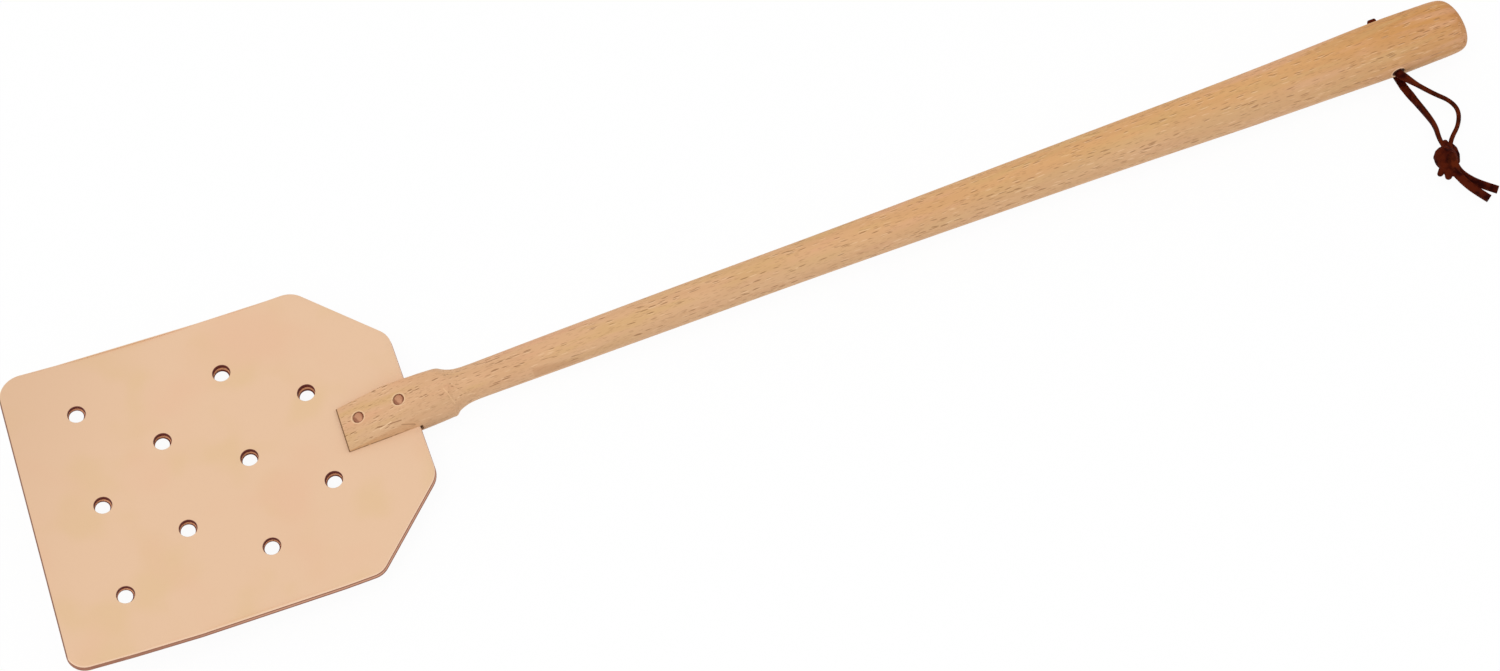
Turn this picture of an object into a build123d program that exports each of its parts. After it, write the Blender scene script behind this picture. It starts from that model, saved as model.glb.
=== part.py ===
"""Fly swatter: a turned beech handle that grips a flat leather head, with a tied leather lace at the butt.

The handle's axis runs along X, with the head towards -X and the butt towards +X. Z is up. The swatter lies on
a table at z = 0, and the origin is at the middle of its length and width, on that table. Lengths are in
millimetres and angles in degrees.
"""

from build123d import *
from math import asin, cos, degrees, pi, radians, sin, sqrt, tan
import os

# Handle
HANDLE_LENGTH = 353.0
BULB_RADIUS = 8.2           # the swelling at the head end, before its two sides are cut down
BULB_LENGTH = 29.0
GRIP_RADIUS = 8.8           # thickest place, at the lace hole
NECK = ((38.5, 5.36), (60.0, 5.5), (100.0, 5.74), (154.0, 5.97), (207.0, 6.62), (261.0, 7.42), (305.0, 8.28))
BUTT_STRETCH = 12.0         # from the last gentle narrowing to the end of the handle
BUTT_RADIUS = 8.45
CHEEK_TIP = 0.8             # thickness of each cheek at its thin end
CHEEK_SLOPE = 8.25          # slope of the two flats that make the wedge
SAW_RUNOUT = 0.5            # the saw cut goes on past the leather by this much
SAW_DROP = 0.5              # the saw cut runs a little below the handle's axis
PLANED_LENGTH = 24.0        # the far side of the cheeks is planed off, slanting in towards their tip
PLANED_TIP = 6.3            # half width left on that side at the tip

# Leather head
LEATHER_LENGTH = 116.0      # along the leather, from its gripped edge to its free edge
LEATHER_WIDTH = 97.0
LEATHER_THICKNESS = 3.0
GRIPPED_LENGTH = 22.2       # how far the leather goes into the handle
CORNER_CUT = 24.0
CUT_CORNER_ROUNDING = 7.0
FREE_CORNER_ROUNDING = 7.0
BEND_RADIUS = 410.0         # the leather curls up a little towards its free edge
PUNCH_RADIUS = 2.5
HINGE_AHEAD = 0.5           # the leather bends along a line just in front of the cheeks
HINGE_GAP = 0.25

# Punched holes, in columns across the leather: three, two, three, two
FIRST_COLUMN = 20.6         # from the free edge
COLUMN_PITCH = 22.05
ROW_PITCH = 29.8
COLUMN_DRIFT = (0.4, -0.3, 0.8, 0.0)

# Rivets
RIVET_PLACES = {"rivet_front": 5.6, "rivet_rear": 18.5}     # from the tip of the cheeks
RIVET_SIDE = 0.35
SHANK_RADIUS = 1.2
SHANK_HOLE_RADIUS = 1.25
RIVET_HEAD_RADIUS = 1.7
HEAD_RECESS_RADIUS = 1.8
HEAD_THICKNESS = 0.4
RECESS_DEPTH = 0.5

# Lace
LACE_WIDTH = 2.4
LACE_THICKNESS = 1.3
LACE_CLEARANCE = 0.1
LACE_HOLE_FROM_BUTT = 24.0
LACE_HOLE_RADIUS = 2.0
MOUTH_CHAMFER = 1.2
LACE_DROP = 0.95            # the lace lies in the lower half of its hole
MOUTH_BEND = 1.3
LACE_TURN_OUT = 1.2         # the free loop turns about an upright line this far out from the grip
LACE_ROD_RADIUS = 1.0       # the free lace, as a round rod of about its section
KNOT_CENTRE = (202.4, -38.2)
KNOT_RADIUS = 3.7
KNOT_LENGTH = 9.6
KNOT_TURN = 6.0             # the knot's long axis against -Y

head_reach = HINGE_AHEAD + BEND_RADIUS * sin(
    (LEATHER_LENGTH - GRIPPED_LENGTH - HINGE_AHEAD) / BEND_RADIUS
)
butt_x = (HANDLE_LENGTH + head_reach) / 2
tip_x = butt_x - HANDLE_LENGTH
axis_z = GRIP_RADIUS + LACE_THICKNESS + LACE_CLEARANCE
leather_z = axis_z - SAW_DROP
hinge_x = tip_x - HINGE_AHEAD
hole_x = butt_x - LACE_HOLE_FROM_BUTT
turn_y = -(GRIP_RADIUS + LACE_TURN_OUT)
half_leather = LEATHER_THICKNESS / 2

axis_plane = Plane(origin=(tip_x, 0, axis_z), x_dir=(1, 0, 0), z_dir=(0, -1, 0))
cut_plane = Plane(origin=(tip_x, 0, leather_z), x_dir=(1, 0, 0), z_dir=(0, -1, 0))
handle_axis = Axis((0, 0, axis_z), (1, 0, 0))


def flat_height(behind_tip):
    """Height of the wedge's upper flat above the middle of the leather."""
    return half_leather + CHEEK_TIP + behind_tip * tan(radians(CHEEK_SLOPE))


def flat_plane(behind_tip, up):
    """Plane on the wedge's upper flat (up = 1) or lower flat (up = -1), facing out of the wood."""
    origin = (tip_x + behind_tip, RIVET_SIDE, leather_z + up * flat_height(behind_tip))
    slope = radians(CHEEK_SLOPE)
    return Plane(origin=origin, x_dir=(0, 1, 0), z_dir=(-sin(slope), 0, up * cos(slope)))


def leather_plane(ahead, side):
    """Plane in the middle of the leather, this far in front of the hinge line and to the +Y side."""
    turn = ahead / BEND_RADIUS
    origin = (
        hinge_x - BEND_RADIUS * sin(turn),
        side,
        leather_z + BEND_RADIUS * (1 - cos(turn)),
    )
    return Plane(origin=origin, x_dir=(0, 1, 0), z_dir=(sin(turn), 0, cos(turn)))


def punched_places():
    """Each hole's distance in front of the hinge line, and its place across the leather."""
    free_edge = LEATHER_LENGTH - GRIPPED_LENGTH - HINGE_AHEAD
    for column, drift in enumerate(COLUMN_DRIFT):
        rows = (-1, 0, 1) if column % 2 == 0 else (-0.5, 0.5)
        for row in rows:
            yield free_edge - FIRST_COLUMN - column * COLUMN_PITCH, row * ROW_PITCH + drift


# Handle: turned, cut down to a wedge, sawn for the leather and drilled
with BuildPart() as handle:
    with BuildSketch(axis_plane):
        with BuildLine():
            bottom = Line((0, 0), (HANDLE_LENGTH, 0))
            tip = Line((0, 0), (0, BULB_RADIUS))
            bulb = Line((0, BULB_RADIUS), (BULB_LENGTH, BULB_RADIUS))
            shoulder_end = (NECK[0][0] - 4.7, 6.55)
            shoulder = TangentArc(bulb @ 1, shoulder_end, tangent=(1, 0))
            cove = Spline(shoulder @ 1, NECK[0], tangents=(shoulder % 1, (1, 0)))
            lace_swell = (HANDLE_LENGTH - LACE_HOLE_FROM_BUTT + 2, GRIP_RADIUS)
            taper = Spline(*NECK, lace_swell, tangents=((1, 0), (1, 0)))
            butt_start = (HANDLE_LENGTH - BUTT_STRETCH, BUTT_RADIUS + 0.15)
            narrowing = Spline(taper @ 1, butt_start, (HANDLE_LENGTH - 5.2, BUTT_RADIUS - 0.2),
                               tangents=((1, 0), (0.92, -0.2)))
            edge = Spline(narrowing @ 1, (HANDLE_LENGTH - 2.0, 6.7), tangents=(narrowing % 1, (0.3, -1)))
            dome = Spline(edge @ 1, (HANDLE_LENGTH, 0), tangents=(edge % 1, (0, -1)))
        make_face()
    revolve(axis=handle_axis)
    with BuildSketch(cut_plane):
        run = BULB_LENGTH + 20
        above = 2 * BULB_RADIUS
        with BuildLine():
            Polyline((-1, flat_height(-1)), (run, flat_height(run)), (run, above), (-1, above), close=True)
        make_face()
        mirror(about=Plane.XZ)
    extrude(amount=2 * BULB_RADIUS, both=True, mode=Mode.SUBTRACT)
    with BuildSketch(Plane.XY):
        with BuildLine():
            planed_start = (tip_x, PLANED_TIP)
            planed_end = (tip_x + PLANED_LENGTH, BULB_RADIUS)
            Polyline(planed_start, planed_end, (tip_x, BULB_RADIUS), close=True)
        make_face()
    extrude(amount=2 * axis_z, mode=Mode.SUBTRACT)
    with BuildSketch(cut_plane):
        with Locations(((GRIPPED_LENGTH + SAW_RUNOUT - 1) / 2, 0)):
            Rectangle(GRIPPED_LENGTH + SAW_RUNOUT + 1, LEATHER_THICKNESS)
    extrude(amount=2 * BULB_RADIUS, both=True, mode=Mode.SUBTRACT)
    for behind_tip in RIVET_PLACES.values():
        with Locations((tip_x + behind_tip, RIVET_SIDE, leather_z)):
            Cylinder(SHANK_HOLE_RADIUS, 2 * BULB_RADIUS, mode=Mode.SUBTRACT)
        for up in (1, -1):
            with BuildSketch(flat_plane(behind_tip, up)):
                Circle(HEAD_RECESS_RADIUS)
            extrude(amount=-RECESS_DEPTH, mode=Mode.SUBTRACT)
    with Locations(Plane(origin=(hole_x, 0, axis_z), z_dir=(0, 1, 0))):
        Cylinder(LACE_HOLE_RADIUS, 3 * GRIP_RADIUS, mode=Mode.SUBTRACT)
    for side in (1, -1):
        cone_height = 2.0
        with Locations(Plane(origin=(hole_x, side * (GRIP_RADIUS - MOUTH_CHAMFER), axis_z), z_dir=(0, side, 0))):
            Cone(
                LACE_HOLE_RADIUS,
                LACE_HOLE_RADIUS + cone_height,
                cone_height,
                align=(Align.CENTER, Align.CENTER, Align.MIN),
                mode=Mode.SUBTRACT,
            )
handle.part.label = "handle"

# Leather: one flat piece, cut across its width at the line where it bends
rear_x = tip_x + GRIPPED_LENGTH
side_y = LEATHER_WIDTH / 2
beyond_x = hinge_x - LEATHER_LENGTH
with BuildSketch(Plane.XY) as leather_outline:
    with BuildLine():
        Polyline(
            (beyond_x, -side_y),
            (rear_x - CORNER_CUT, -side_y),
            (rear_x, -side_y + CORNER_CUT),
            (rear_x, side_y - CORNER_CUT),
            (rear_x - CORNER_CUT, side_y),
            (beyond_x, side_y),
            close=True,
        )
    make_face()
    fillet(leather_outline.vertices().filter_by(lambda corner: corner.X > hinge_x - 5), CUT_CORNER_ROUNDING)

with BuildPart() as leather_root:
    with BuildSketch(Plane.XY.offset(leather_z - half_leather)):
        add(leather_outline.sketch)
    extrude(amount=LEATHER_THICKNESS)
    split(bisect_by=Plane(origin=(hinge_x, 0, 0), z_dir=(1, 0, 0)), keep=Keep.TOP)
    with Locations(Plane(origin=(hinge_x, 0, leather_z), z_dir=(0, 1, 0))):
        Cylinder(half_leather + HINGE_GAP, 2 * LEATHER_WIDTH, mode=Mode.SUBTRACT)
    for behind_tip in RIVET_PLACES.values():
        with Locations((tip_x + behind_tip, RIVET_SIDE, leather_z)):
            Cylinder(SHANK_HOLE_RADIUS, 2 * LEATHER_THICKNESS, mode=Mode.SUBTRACT)
leather_root.part.label = "leather_root"

bend_centre = (hinge_x, leather_z + BEND_RADIUS)
bend_angle = degrees((LEATHER_LENGTH - GRIPPED_LENGTH - HINGE_AHEAD) / BEND_RADIUS)
with BuildPart() as leather_flap:
    with BuildSketch(Plane.XZ):
        with BuildLine():
            lower = CenterArc(bend_centre, BEND_RADIUS + half_leather, 270 - bend_angle, bend_angle)
            upper = CenterArc(bend_centre, BEND_RADIUS - half_leather, 270 - bend_angle, bend_angle)
            Line(lower @ 0, upper @ 0)
            ThreePointArc(lower @ 1, (hinge_x + half_leather, leather_z), upper @ 1)
        make_face()
    extrude(amount=side_y, both=True)
    fillet(leather_flap.edges().filter_by(
        lambda edge: edge.length < 2 * LEATHER_THICKNESS and edge.center().X < hinge_x - 50
        and abs(edge.center().Y) > side_y - 1), FREE_CORNER_ROUNDING)
    with BuildSketch(Plane.XY):
        add(leather_outline.sketch)
    extrude(amount=4 * axis_z, mode=Mode.INTERSECT)
    for ahead, side in punched_places():
        with BuildSketch(leather_plane(ahead, side)):
            Circle(PUNCH_RADIUS)
        extrude(amount=LEATHER_THICKNESS, both=True, mode=Mode.SUBTRACT)
leather_flap.part.label = "leather_flap"

# Rivets: a shank through both cheeks and the leather, with a head hammered over at each end
rivets = {}
for name, behind_tip in RIVET_PLACES.items():
    shank_height = flat_height(behind_tip) - RECESS_DEPTH
    with BuildPart() as rivet:
        with Locations((tip_x + behind_tip, RIVET_SIDE, leather_z)):
            Cylinder(SHANK_RADIUS, 2 * shank_height)
        for up in (1, -1):
            with BuildSketch(flat_plane(behind_tip, up).offset(-RECESS_DEPTH)):
                Circle(RIVET_HEAD_RADIUS)
            extrude(amount=HEAD_THICKNESS)
    rivet.part.label = name
    rivets[name] = rivet.part

# Lace: through the grip, down round the far side and under it, and out as a knotted loop on the near side
wrap_radius = GRIP_RADIUS + LACE_CLEARANCE + LACE_THICKNESS / 2
bend_z = -(LACE_DROP + MOUTH_BEND)
bend_y = sqrt((wrap_radius - MOUTH_BEND) ** 2 - bend_z**2)
bend_end = degrees(asin(-bend_z / (wrap_radius - MOUTH_BEND)))
with BuildPart() as lace_wrap:
    with BuildSketch(Plane(origin=(hole_x, 0, axis_z), x_dir=(0, 1, 0), z_dir=(1, 0, 0))):
        with BuildLine():
            through = Line((-GRIP_RADIUS, -LACE_DROP), (bend_y, -LACE_DROP))
            turn_down = CenterArc((bend_y, bend_z), MOUTH_BEND, 90, -(90 + bend_end))
            round_grip = CenterArc((0, 0), wrap_radius, -bend_end, -(90 - bend_end))
            Line(round_grip @ 1, (-GRIP_RADIUS, -wrap_radius))
        trace(line_width=LACE_THICKNESS)
    extrude(amount=LACE_WIDTH / 2, both=True)
lace_wrap.part.label = "lace_wrap"

# The free lace's route, each strand from the grip to the knot and each tail from the knot to its cut end
lace_routes = {
    "lace_strand_upper": (
        (hole_x, turn_y, axis_z - LACE_DROP),
        (hole_x + 3.4, turn_y - 2.6, 8.8),
        (hole_x + 7.9, turn_y - 5.7, 5.3),
        (hole_x + 11.9, turn_y - 8.6, 2.0),
        (hole_x + 13.5, turn_y - 12.7, 1.05),
        (hole_x + 12.3, turn_y - 17.2, 1.15),
        (hole_x + 9.2, turn_y - 21.2, 1.7),
        (hole_x + 5.4, turn_y - 24.8, 2.9),
    ),
    "lace_strand_lower": (
        (hole_x + 0.2, turn_y, 1.0),
        (hole_x + 3.2, turn_y - 7.2, 1.05),
        (hole_x + 4.8, turn_y - 14.4, 1.05),
        (hole_x + 4.3, turn_y - 20.4, 1.6),
        (hole_x + 3.3, turn_y - 24.8, 2.7),
    ),
    "lace_tail_upper": (
        (hole_x + 4.4, turn_y - 30.6, 2.0),
        (hole_x + 7.3, turn_y - 34.4, 1.2),
        (hole_x + 10.0, turn_y - 38.4, 1.05),
        (hole_x + 12.9, turn_y - 41.6, 1.1),
    ),
    "lace_tail_lower": (
        (hole_x + 2.6, turn_y - 31.6, 1.6),
        (hole_x + 5.2, turn_y - 36.6, 1.05),
        (hole_x + 7.0, turn_y - 40.4, 1.05),
        (hole_x + 9.3, turn_y - 43.6, 1.1),
    ),
}


def bend_radii(route):
    """The largest arc that each inner point's two runs leave room for."""
    radii = []
    for before, here, after in zip(route, route[1:], route[2:]):
        arriving = Vector(*here) - Vector(*before)
        leaving = Vector(*after) - Vector(*here)
        turn = radians(arriving.get_angle(leaving))
        radii.append(0.45 * min(arriving.length, leaving.length) / tan(turn / 2))
    return radii


laces = {}
for name, route in lace_routes.items():
    radii = bend_radii(route)
    with BuildPart() as strand:
        with BuildLine():
            path = FilletPolyline(*route, radius=radii)
        with BuildSketch(Plane(origin=path @ 0, z_dir=path % 0)):
            Circle(LACE_ROD_RADIUS)
        sweep()
    strand.part.label = name
    laces[name] = strand.part
    full_volume = path.length * pi * LACE_ROD_RADIUS**2
    print(
        f"{name}: length {path.length:.1f}, radii {[round(radius, 1) for radius in radii]},"
        f" volume over section times length {strand.part.volume / full_volume:.3f}"
    )

knot_plane = Plane(
    origin=(*KNOT_CENTRE, KNOT_RADIUS),
    x_dir=(sin(radians(KNOT_TURN)), -cos(radians(KNOT_TURN)), 0),
    z_dir=(0, 0, 1),
)
with BuildPart() as lace_knot:
    with BuildSketch(knot_plane):
        Ellipse(KNOT_LENGTH / 2, KNOT_RADIUS)
        split(bisect_by=Plane.XZ)
    revolve(axis=Axis(knot_plane.origin, knot_plane.x_dir))
lace_knot.part.label = "lace_knot"

os.makedirs("parts", exist_ok=True)
export_step(handle.part, "parts/handle.step")
export_step(leather_root.part, "parts/leather_root.step")
export_step(leather_flap.part, "parts/leather_flap.step")
for name, part in (rivets | laces).items():
    export_step(part, f"parts/{name}.step")
export_step(lace_wrap.part, "parts/lace_wrap.step")
export_step(lace_knot.part, "parts/lace_knot.step")

print(f"overall length {HANDLE_LENGTH + head_reach:.1f}")
print(f"cheek tip x {tip_x:.2f}, butt x {butt_x:.2f}, axis z {axis_z:.2f}, leather z {leather_z:.2f}")
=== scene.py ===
"""Looks of the fly swatter: turned beech handle, punched leather head, two copper rivets and a knotted lace.

Lengths are in metres unless a docstring says otherwise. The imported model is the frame: +X runs along the
handle to its butt, +Y is the far side, +Z is up, and the swatter lies on the table at z = 0.
"""

import logging
import math
from dataclasses import dataclass, field
from enum import Enum
from typing import Any, Iterator, Mapping, Sequence, Union

import bmesh
import bpy
import numpy as np
from mathutils import Matrix, Vector
from mathutils.geometry import delaunay_2d_cdt

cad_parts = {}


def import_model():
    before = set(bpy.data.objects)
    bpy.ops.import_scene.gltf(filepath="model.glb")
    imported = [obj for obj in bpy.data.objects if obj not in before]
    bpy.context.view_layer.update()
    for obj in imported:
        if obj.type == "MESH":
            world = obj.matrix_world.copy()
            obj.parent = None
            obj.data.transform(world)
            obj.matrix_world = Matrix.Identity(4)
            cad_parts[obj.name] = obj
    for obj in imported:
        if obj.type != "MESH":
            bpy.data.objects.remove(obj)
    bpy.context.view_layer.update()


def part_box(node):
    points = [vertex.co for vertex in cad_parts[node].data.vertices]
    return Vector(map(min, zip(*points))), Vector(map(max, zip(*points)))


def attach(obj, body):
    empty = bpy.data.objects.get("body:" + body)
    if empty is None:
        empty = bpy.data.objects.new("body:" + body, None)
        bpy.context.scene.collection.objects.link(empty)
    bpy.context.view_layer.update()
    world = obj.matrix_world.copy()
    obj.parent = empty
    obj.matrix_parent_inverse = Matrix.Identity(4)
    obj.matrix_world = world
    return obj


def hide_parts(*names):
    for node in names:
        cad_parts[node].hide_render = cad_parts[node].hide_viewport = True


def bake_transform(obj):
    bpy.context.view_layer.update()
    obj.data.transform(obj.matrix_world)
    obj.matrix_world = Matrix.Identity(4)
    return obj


log = logging.getLogger("fly_swatter")

MM = 0.001
IMAGE_WIDTH = 1500

Colour = tuple[float, float, float, float]
Point2 = tuple[float, float]
Point3 = tuple[float, float, float]


def srgb(red: int, green: int, blue: int) -> Colour:
    """Linear colour of a display colour given as three numbers from 0 to 255."""
    linear = [
        c / 255 / 12.92 if c <= 10 else ((c / 255 + 0.055) / 1.055) ** 2.4
        for c in (red, green, blue)
    ]
    return (*linear, 1.0)


WHITE = srgb(255, 255, 255)


def ease(value: float | np.ndarray, low: float, high: float) -> float | np.ndarray:
    """0 up to low, 1 from high on, and a smooth step between them; low may be the larger one."""
    share = np.clip((value - low) / (high - low), 0, 1)
    return share * share * (3 - 2 * share)


# ---- Node trees written as expressions ---------------------------------------


class Value:
    """An output socket that stands in Python arithmetic, which adds the Math nodes it needs."""

    def __init__(self, net: "Net", socket: bpy.types.NodeSocket) -> None:
        """Wraps one socket of one net."""
        self.net = net
        self.socket = socket

    def output(self, name: str) -> "Value":
        """Another output of the same node."""
        found = next(s for s in self.socket.node.outputs if s.enabled and s.name == name)
        return Value(self.net, found)

    def __add__(self, other: "Source") -> "Value":
        """Sum."""
        return self.net.calc("ADD", self, other)

    def __radd__(self, other: "Source") -> "Value":
        """Sum, with a number on the left."""
        return self.net.calc("ADD", other, self)

    def __sub__(self, other: "Source") -> "Value":
        """Difference."""
        return self.net.calc("SUBTRACT", self, other)

    def __rsub__(self, other: "Source") -> "Value":
        """Difference, with a number on the left."""
        return self.net.calc("SUBTRACT", other, self)

    def __mul__(self, other: "Source") -> "Value":
        """Product."""
        return self.net.calc("MULTIPLY", self, other)

    def __rmul__(self, other: "Source") -> "Value":
        """Product, with a number on the left."""
        return self.net.calc("MULTIPLY", other, self)

    def __truediv__(self, other: "Source") -> "Value":
        """Quotient."""
        return self.net.calc("DIVIDE", self, other)


Source = Union[Value, float, int, bool, str, Sequence[float], bpy.types.ID]


class Net:
    """One node tree, built from expressions and from one method that adds any node."""

    def __init__(self, tree: bpy.types.NodeTree) -> None:
        """Starts with an existing tree."""
        self.tree = tree

    def node(
        self,
        kind: str,
        settings: Mapping[str, Any] | None = None,
        inputs: Mapping[str | int, Source] | None = None,
    ) -> Value:
        """Adds one node.

        Args:
            kind: Type name of the node.
            settings: Properties that are set before the sockets.
            inputs: Values or links, by the socket's name or number.

        Returns:
            The node's first output in use.
        """
        made = self.tree.nodes.new(kind)
        for name, value in (settings or {}).items():
            setattr(made, name, value)
        for key, value in (inputs or {}).items():
            if isinstance(key, int):
                socket = made.inputs[key]
            else:
                socket = next(s for s in made.inputs if s.enabled and s.name == key)
            if isinstance(value, Value):
                self.tree.links.new(value.socket, socket)
            else:
                socket.default_value = value
        shown = [s for s in made.outputs if s.enabled]
        return Value(self, shown[0] if shown else None)

    def calc(self, operation: str, *values: Source) -> Value:
        """One Math node."""
        return self.node("ShaderNodeMath", {"operation": operation}, dict(enumerate(values)))

    def hypotenuse(self, across: Value, up: Value) -> Value:
        """Length of the slant over two values at a right angle."""
        return self.calc("SQRT", across * across + up * up)

    def vector(self, x: Source, y: Source, z: Source) -> Value:
        """A vector of three values."""
        return self.node("ShaderNodeCombineXYZ", None, {"X": x, "Y": y, "Z": z})

    def split(self, vector: Value) -> tuple[Value, Value, Value]:
        """The three values of a vector."""
        parts = self.node("ShaderNodeSeparateXYZ", None, {"Vector": vector})
        return parts, parts.output("Y"), parts.output("Z")

    def stretch(self, vector: Value, scale: Point3) -> Value:
        """A vector times another, part by part."""
        return self.node("ShaderNodeVectorMath", {"operation": "MULTIPLY"}, {0: vector, 1: scale})

    def scaled(self, vector: Value, by: Source) -> Value:
        """A vector times one number."""
        return self.node("ShaderNodeVectorMath", {"operation": "SCALE"}, {0: vector, "Scale": by})

    def shift(self, vector: Value, other: Source) -> Value:
        """A vector plus another."""
        return self.node("ShaderNodeVectorMath", {"operation": "ADD"}, {0: vector, 1: other})

    def step(self, value: Value, low: float, high: float) -> Value:
        """0 at low and 1 at high, smooth between them; low may be the larger one."""
        sockets = {"Value": value, "From Min": low, "From Max": high}
        return self.node("ShaderNodeMapRange", {"interpolation_type": "SMOOTHSTEP"}, sockets)

    def noise(self, where: Value, scale: float, detail: float = 2.0, roughness: float = 0.5) -> Value:
        """Smooth noise from 0 to 1."""
        sockets = {"Vector": where, "Scale": scale, "Detail": detail, "Roughness": roughness}
        return self.node("ShaderNodeTexNoise", None, sockets)

    def mix(self, share: Source, first: Source, second: Source) -> Value:
        """A colour between two colours."""
        sockets = {"Factor": share, "A": first, "B": second}
        return self.node("ShaderNodeMix", {"data_type": "RGBA"}, sockets)


class ShaderNet(Net):
    """A material's tree."""

    def __init__(self, name: str) -> None:
        """Starts an empty material."""
        self.material = bpy.data.materials.new(name)
        self.material.use_nodes = True
        super().__init__(self.material.node_tree)
        self.tree.nodes.clear()

    def place(self) -> Value:
        """Object coordinates, in millimetres."""
        where = self.node("ShaderNodeTexCoord").output("Object")
        return self.stretch(where, (1 / MM,) * 3)

    def attribute(self, name: str) -> Value:
        """A vector attribute of the piece."""
        return self.node("ShaderNodeAttribute", {"attribute_name": name}).output("Vector")

    def relief(self, height: Value, depth: float) -> Value:
        """A normal for a height from 0 to 1 that stands for depth metres."""
        return self.node("ShaderNodeBump", None, {"Strength": 1.0, "Distance": depth, "Height": height})

    def surface(self, sockets: Mapping[str, Source]) -> bpy.types.Material:
        """Finishes the material with one Principled shader."""
        return self.output(self.node("ShaderNodeBsdfPrincipled", None, sockets))

    def output(self, shader: Value) -> bpy.types.Material:
        """Connects a shader to the material's output."""
        self.node("ShaderNodeOutputMaterial", None, {"Surface": shader})
        return self.material


class GeometryNet(Net):
    """A Geometry Nodes tree with named sizes, which makes plain meshes."""

    def __init__(self, name: str, sizes: Mapping[str, float]) -> None:
        """Starts a tree.

        Args:
            name: What the tree makes.
            sizes: Its named inputs, with the values for this object.
        """
        super().__init__(bpy.data.node_groups.new(name, "GeometryNodeTree"))
        self.sizes = dict(sizes)
        face = self.tree.interface
        face.new_socket("Geometry", in_out="OUTPUT", socket_type="NodeSocketGeometry")
        face.new_socket("Geometry", in_out="INPUT", socket_type="NodeSocketGeometry")
        for label in sizes:
            face.new_socket(label, in_out="INPUT", socket_type="NodeSocketFloat")
        self.entry = self.node("NodeGroupInput")

    def size(self, label: str) -> Value:
        """One of the named inputs."""
        return self.entry.output(label)

    def join(self, *parts: Value) -> Value:
        """Several geometries as one."""
        joined = self.node("GeometryNodeJoinGeometry")
        for part in parts:
            self.tree.links.new(part.socket, joined.socket.node.inputs[0])
        return joined

    def paint(self, geometry: Value, material: bpy.types.Material, where: Source = True) -> Value:
        """Gives the selected faces a material."""
        sockets = {"Geometry": geometry, "Selection": where, "Material": material}
        return self.node("GeometryNodeSetMaterial", None, sockets)

    def transform(self, geometry: Value, sockets: Mapping[str, Source]) -> Value:
        """A geometry moved, turned or scaled, by the sockets that are given."""
        return self.node("GeometryNodeTransform", None, {"Geometry": geometry, **sockets})

    def nudge(self, geometry: Value, offset: Value) -> Value:
        """A geometry with each point moved by an offset of its own."""
        return self.node("GeometryNodeSetPosition", None, {"Geometry": geometry, "Offset": offset})

    def cylinder(self, sockets: Mapping[str, Source]) -> Value:
        """An upright cylinder round the origin, by its sockets."""
        return self.node("GeometryNodeMeshCylinder", None, sockets)

    def mark(self, geometry: Value, name: str, value: Value) -> Value:
        """A geometry that carries a vector at each of its points, under a name."""
        return self.node(
            "GeometryNodeStoreNamedAttribute",
            {"data_type": "FLOAT_VECTOR", "domain": "POINT"},
            {"Geometry": geometry, "Name": name, "Value": value},
        )

    def marked(self, name: str) -> Value:
        """The vector that the points carry under a name."""
        return self.node("GeometryNodeInputNamedAttribute", {"data_type": "FLOAT_VECTOR"}, {"Name": name})

    def make(self, name: str, start: bpy.types.Mesh, made: Value) -> bpy.types.Object:
        """Runs the tree on a starting mesh.

        Args:
            name: Name of the new piece.
            start: Mesh that the tree starts from.
            made: The tree's last geometry.

        Returns:
            An object at the origin with the tree's result as its plain mesh.
        """
        real = self.node("GeometryNodeRealizeInstances", None, {"Geometry": made})
        self.node("NodeGroupOutput", None, {"Geometry": real})
        piece = new_object(name, start)
        modifier = piece.modifiers.new(self.tree.name, "NODES")
        modifier.node_group = self.tree
        for item in self.tree.interface.items_tree:
            if item.in_out == "INPUT" and item.name in self.sizes:
                modifier[item.identifier] = float(self.sizes[item.name])
        apply_modifiers(piece)
        return piece


# ---- Meshes ------------------------------------------------------------------


def new_object(name: str, data: bpy.types.ID) -> bpy.types.Object:
    """Adds an object to the scene, at the origin.

    Args:
        name: Name of the object.
        data: Its mesh, camera or lamp.

    Returns:
        The new object.
    """
    made = bpy.data.objects.new(name, data)
    bpy.context.scene.collection.objects.link(made)
    return made


def plain_mesh(name: str, points: Sequence, edges: Sequence = (), faces: Sequence = ()) -> bpy.types.Mesh:
    """A mesh of points, edges and faces."""
    mesh = bpy.data.meshes.new(name)
    mesh.from_pydata([tuple(map(float, p)) for p in points], list(edges), list(faces))
    return mesh


def mark_points(mesh: bpy.types.Mesh, name: str, vectors: Sequence[Sequence[float]]) -> None:
    """Gives each point of a mesh its own vector, under a name."""
    mesh.attributes.new(name, "FLOAT_VECTOR", "POINT")
    mesh.attributes[name].data.foreach_set("vector", np.array(vectors, np.float32).ravel())


def apply_modifiers(piece: bpy.types.Object) -> None:
    """Turns what a piece's modifiers make into its plain mesh, and removes them.

    Args:
        piece: Object that gets the new mesh.
    """
    graph = bpy.context.evaluated_depsgraph_get()
    mesh = bpy.data.meshes.new_from_object(
        piece.evaluated_get(graph), preserve_all_data_layers=True, depsgraph=graph
    )
    piece.modifiers.clear()
    piece.data = mesh
    mesh.name = piece.name


def close_up(piece: bpy.types.Object, sharp_angle: float, gap: float = 1e-6) -> None:
    """Merges doubles, turns all faces outwards and shades smoothly.

    Args:
        piece: Object whose mesh is cleaned.
        sharp_angle: Edges that bend by more than this, in degrees, stay sharp.
        gap: Points nearer than this become one.
    """
    edit = bmesh.new()
    edit.from_mesh(piece.data)
    bmesh.ops.remove_doubles(edit, verts=edit.verts, dist=gap)
    bmesh.ops.recalc_face_normals(edit, faces=edit.faces)
    edit.to_mesh(piece.data)
    edit.free()
    piece.data.shade_smooth()
    piece.data.set_sharp_from_angle(angle=math.radians(sharp_angle))


# ---- Finishes, whose lengths are in millimetres ------------------------------


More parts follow.
